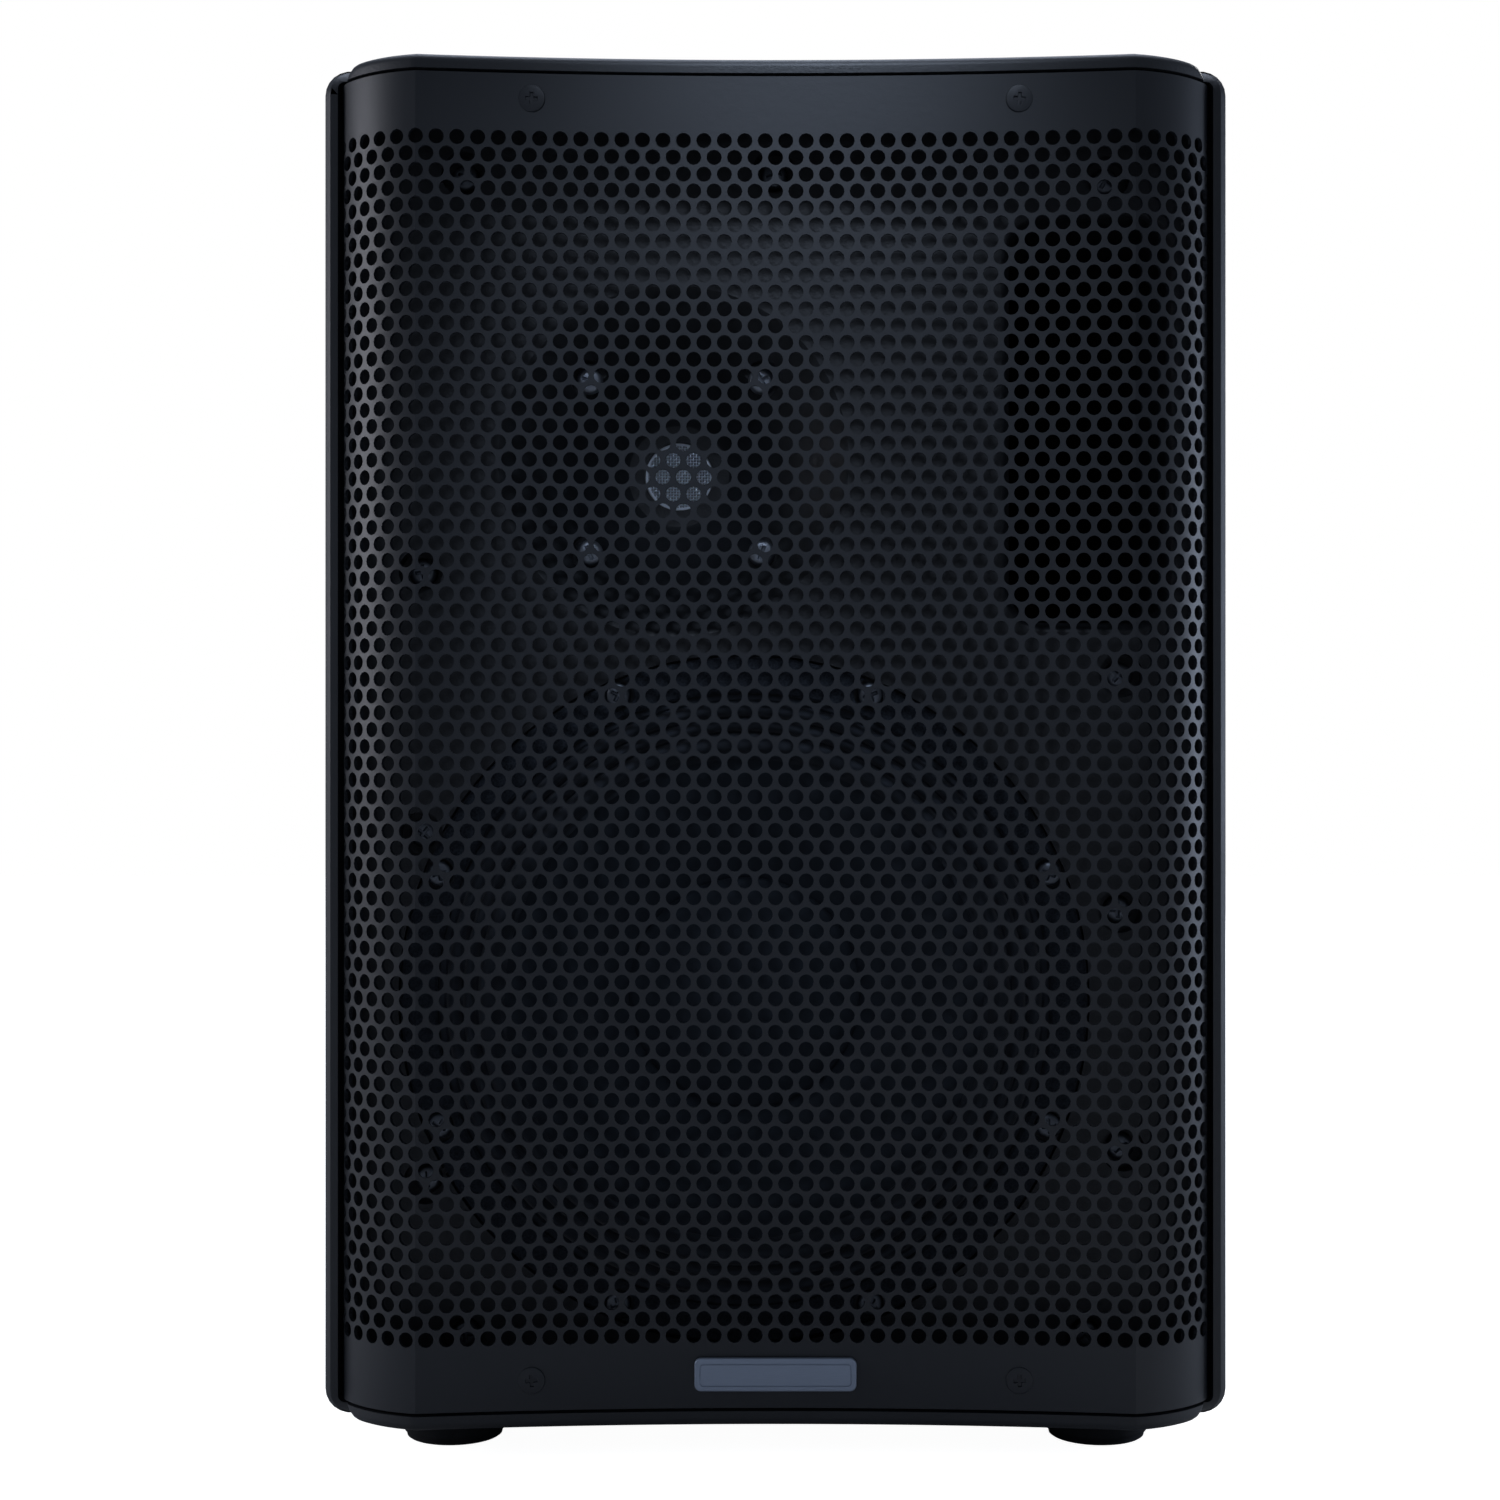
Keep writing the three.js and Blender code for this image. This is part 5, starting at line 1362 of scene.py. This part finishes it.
def addSwitch():
    wide, high = switch["throat"]
    wall, crown, rise, curve = switch["wall"], switch["crown"], switch["rise"], switch["curve"]
    face = panelFace + gap + switch["plate"][2]
    x, z = switchSpot
    body = facePlate("powerSwitchFrame", switch["plate"], switchSpot, 2)
    housing = slab("tool", (wide + 2 * wall, high + 2 * wall), 1, switchSpot, (panelBack - 12, face))
    throat = slab("tool", (wide, high), 0.6, switchSpot, (panelBack - 10, face + 0.01), 0, -0.35)
    shape(body, [housing], [throat])
    finishPiece(body, "connector", stands=["power_switch_frame"], sharp=35)
    # The rocker's section as [z, y] about its pivot, tipped to "off".
    reach = high / 2 - 1.4
    side = [(-reach, crown + rise - 0.45), (-reach + 0.5, crown + rise)]
    side += [(-reach + 2 * reach * i / 12, crown + rise * (abs(i - 6) / 6) ** curve)
             for i in range(1, 12)]
    side += [(reach - 0.5, crown + rise), (reach, crown + rise - 0.45), (reach - 1.5, -2),
             (1.5 - reach, -2)]
    tilt = math.radians(switch["off"])
    pivot = Vector((x, switch["pivot"], z))
    half = wide / 2 - gap
    rings = []
    for dx, shrink in ((-half, 0.3), (-half + 0.3, 0), (half - 0.3, 0), (half, 0.3)):
        ring = []
        for dz, dy in side:
            dz, dy = dz * (1 - shrink / reach), dy - (shrink if dy > 0 else 0)
            turned = Vector((dx, dy * math.cos(tilt) - dz * math.sin(tilt),
                             dy * math.sin(tilt) + dz * math.cos(tilt)))
            ring.append(tuple(pivot + turned))
        rings.append(ring)
    finishPiece(loft("powerRocker", rings), "knob", "power_rocker",
                ["power_rocker"], sharp=35)
    marks = []
    for kind, dz in (("bar", 5.2), ("ring", -5.2)):
        lift = crown + rise * (abs(dz) / reach) ** curve + 0.1
        if kind == "bar":
            mark = slab("mark", (0.7, 4.2), 0.3, (0, 0), (-0.35, 0.15), corners=2, count=1)
        else:
            mark = spin("mark", [(1.5, -0.35), (2.1, -0.35), (2.1, 0.15), (1.5, 0.15)], sides=32)
        slope = math.copysign(math.atan(rise * curve * (abs(dz) / reach) ** 0.6 / reach), dz)
        mark.data.transform(Matrix.Translation(pivot * mm) @ Matrix.Rotation(tilt, 4, "X")
                            @ Matrix.Translation(Vector((0, lift, dz)) * mm)
                            @ Matrix.Rotation(slope, 4, "X"))
        marks.append(mark)
    finishPiece(gather("rockerMarks", marks), "ink", "power_rocker", sharp=40)


def addSlide():
    low, high = boxOf("mic_line_switch")
    x = (low.x + high.x) / 2
    z0, z1 = low.z + 1, high.z - 1
    knobFace = high.y
    parts = [slab("button", (4.4, z1 - z0), 0.5, (x, (z0 + z1) / 2), (panelBack - 1, knobFace - 0.5), 0,
                  0.3)]
    for i in range(3):
        z = z0 + (z1 - z0) * (i + 1) / 4
        parts.append(slab("rib", (3.8, 0.55), 0.2, (x, z), (knobFace - 1, knobFace), 0, 0.15,
                          corners=3))
    parts.append(slab("slider", (high.x - low.x, high.z - low.z), 0.4, (x, (low.z + high.z) / 2),
                      (low.y, panelBack - gap)))
    finishPiece(gather("micLineSwitch", parts), "knob", "mic_line_switch",
                ["mic_line_switch"], sharp=35)


def addHeatSink():
    low, high = boxOf("heat_sink")
    wide = high.x - low.x
    pitch = (wide - heatSink["finThick"]) / (heatSink["fins"] - 1)
    rootY = low.y + heatSink["base"]
    outline = [(low.x, low.y), (high.x, low.y)]
    for i in reversed(range(heatSink["fins"])):
        x = low.x + i * pitch
        thick = heatSink["finThick"]
        if i < heatSink["fins"] - 1:
            outline += [(x + thick + 0.6, rootY), (x + thick, rootY + 0.6)]
        outline += [(x + thick * 0.92, high.y - 0.7), (x + thick * 0.68, high.y),
                    (x + thick * 0.32, high.y), (x + thick * 0.08, high.y - 0.7)]
        if i:
            outline += [(x, rootY + 0.6), (x - 0.6, rootY)]
    rings = [[(x, y, z) for x, y in outline] for z in (low.z, high.z)]
    finishPiece(loft("heatSink", rings), "sink", stands=["heat_sink"], sharp=30)


addPanel()
addMarks()
for name, node in knobNodes.items():
    addKnob(name, node, knobSpots[name], panelFace + 1)
for name, node in inputNodes.items():
    addInput(name, node, inputSpots[name])
addMixOutput()
addAux()
addInlet()
addSwitch()
addSlide()
addHeatSink()
for name, (spot, lens) in ledSpots.items():
    finishPiece(disc(name, 1.4, spot, (panelBack + 0.3, panelFace + 1.0), 0, 0.95, sides=32), lens,
                sharp=40)
for i, (x, z) in enumerate(panelScrewSpots):
    addScrew("panelScrew%d" % (i + 1), "panel", (x, panelFace, z), turnOf(i, 7),
             backwards=True)
print("amplifier panel made")

# Wadding and the pieces kept as they are

wadding = {"levels": 7, "across": 44, "crown": 0.9, "squareness": 6, "tuft": 1.1, "sink": 1.2,
           "tuftScale": 38, "seed": 4.7}


# A soft block crowned towards its middle, with uneven tufts.
def addWadding():
    low, high = boxOf("damping_pad")
    centre, half = (low + high) / 2, (high - low) / 2
    count, power = wadding["across"], wadding["squareness"]
    rings = []
    for step in range(wadding["levels"] * 2 + 1):
        turn = -math.pi / 2 + math.pi * step / (wadding["levels"] * 2)
        swell = math.copysign(abs(math.sin(turn)) ** 0.8, turn)
        shrink = 1 - 0.10 * (1 - math.cos(turn) ** 0.5) if abs(turn) < 1.57 else 0.9
        ring = []
        for i in range(count):
            angle = 2 * math.pi * i / count
            cos, sin = math.cos(angle), math.sin(angle)
            bulk = (abs(cos) ** power + abs(sin) ** power) ** (-1 / power)
            ring.append((centre.x + half.x * shrink * bulk * cos,
                         centre.y + half.y * swell * wadding["crown"],
                         centre.z + half.z * shrink * bulk * sin))
        rings.append(ring)
    pad = loft("dampingPad", rings)
    soft = pad.modifiers.new("soft", "SUBSURF")
    soft.levels = soft.render_levels = 2
    settle(pad)
    for vert in pad.data.vertices:
        place = vert.co * wadding["tuftScale"] + Vector((wadding["seed"], 0, 0))
        vert.co += vert.normal * (noise.noise(place) * wadding["tuft"] * mm - wadding["sink"] * mm)
    finishPiece(pad, "wadding", stands=["damping_pad"], sharp=180)


addWadding()
keptNodes = {
    "shell_gasket": "gasket", "voice_coil": "coil", "woofer_top_plate": "steel",
    "woofer_magnet": "ferrite", "woofer_yoke": "steel",
    "hf_front_plate": "steel", "hf_magnet": "ferrite", "hf_top_plate": "steel",
    "hf_diaphragm": "diaphragm", "hf_rear_cover": "shell",
    "amp_chassis": "chassis", "main_board": "board", "control_board": "board", "transformer": "steel",
    "woofer_cable": "sheath", "hf_cable": "sheath",
}
for node, finish in keptNodes.items():
    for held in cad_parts[node].material_slots:
        held.material = finishes[finish]
print("wadding made, kept pieces finished")


# Floor and light

studio = {
    "floor": {"half": 3.0, "colour": (0.60, 0.60, 0.60), "glow": 0.97},
    "air": {"seen": 1.0, "light": 0.18, "tint": (0.80, 0.91, 1.14)},
    "lamps": {
        "leftBox": {"place": (-1.10, -0.20, 0.43), "aim": (-0.12, -0.12, 0.36), "size": (0.50, 0.44),
                    "power": 3.7, "tint": (0.97, 0.98, 1.08)},
        "rightBox": {"place": (1.13, 0.12, 0.275), "aim": (0.13, -0.12, 0.26), "size": (0.28, 0.40),
                     "power": 2.8, "tint": (0.76, 0.88, 1.12)},
        "topBank": {"place": (0.0, 0.35, 1.7), "aim": (0, 0.0, 0.3), "size": (1.3, 0.9), "power": 13.0,
                    "tint": (0.88, 0.98, 1.20)},
        "backFill": {"place": (0.9, 1.7, 0.9), "aim": (0, 0.1, 0.22), "size": (0.9, 1.1), "power": 22.0,
                     "tint": (1.0, 1.0, 1.0)},
        "poolHigh": {"place": (0.03, -0.72, 0.95), "aim": (0.012, -0.132, 0.43), "cone": 10.5,
                     "power": 15.0, "tint": (0.78, 0.91, 1.14)},
        "poolLow": {"place": (0.02, -0.72, 0.80), "aim": (0.0, -0.132, 0.285), "cone": 22, "power": 7.0,
                    "tint": (0.78, 0.91, 1.14)},
    },
}


def addLamp(name, lamp):
    data = bpy.data.lights.new(name, "SPOT" if "cone" in lamp else "AREA")
    if "cone" in lamp:
        data.spot_size, data.spot_blend, data.shadow_soft_size = math.radians(lamp["cone"]), 1.0, 0.03
    else:
        data.shape, data.size, data.size_y = "RECTANGLE", *lamp["size"]
    data.energy, data.color = lamp["power"], lamp["tint"]
    made = bpy.data.objects.new(name, data)
    made.location = lamp["place"]
    towards = Vector(lamp["aim"]) - Vector(lamp["place"])
    made.rotation_euler = towards.to_track_quat("-Z", "Y").to_euler()
    made.visible_camera = False
    bpy.context.scene.collection.objects.link(made)


# The world's own light, and the white that the camera sees behind everything.
class Air(Finish):
    def __init__(self, name):
        self.world = bpy.data.worlds.new(name)
        self.world.use_nodes = True
        self.tree = self.world.node_tree

    def glow(self, colour, strength):
        return self.node("ShaderNodeBackground", {}, {"Color": colour, "Strength": strength})


def addAir():
    air = Air("studioAir")
    seen = air.node("ShaderNodeLightPath", output="Is Camera Ray")
    light = air.glow(studio["air"]["tint"], studio["air"]["light"])
    white = air.glow((1, 1, 1), studio["air"]["seen"])
    chosen = air.node("ShaderNodeMixShader", {}, {0: seen, 1: light, 2: white})
    air.plug(air.tree.nodes["World Output"].inputs["Surface"], chosen)
    bpy.context.scene.world = air.world


def addStudio():
    half = studio["floor"]["half"] / mm
    ground = addObject("floor", [(-half, -half, 0), (half, -half, 0), (half, half, 0),
                                 (-half, half, 0)], [(0, 1, 2, 3)])
    paper = Finish("floorPaper", roughness=0.9, specularIorLevel=0.1,
                   emissionStrength=studio["floor"]["glow"])
    seen = paper.node("ShaderNodeLightPath", output="Is Camera Ray")
    pulp = paper.noise(30, 3)
    paper.set(roughness=0.85 + pulp * 0.1, emissionColor=paper.blend(seen, (0, 0, 0), (1, 1, 1)),
              baseColor=paper.blend(pulp, studio["floor"]["colour"],
                                    tuple(c * 1.03 for c in studio["floor"]["colour"])))
    ground.data.materials.append(paper.material)
    addAir()
    for name, lamp in studio["lamps"].items():
        addLamp(name, lamp)
    bpy.context.scene.view_settings.view_transform = "Standard"


addStudio()
print("studio lit")
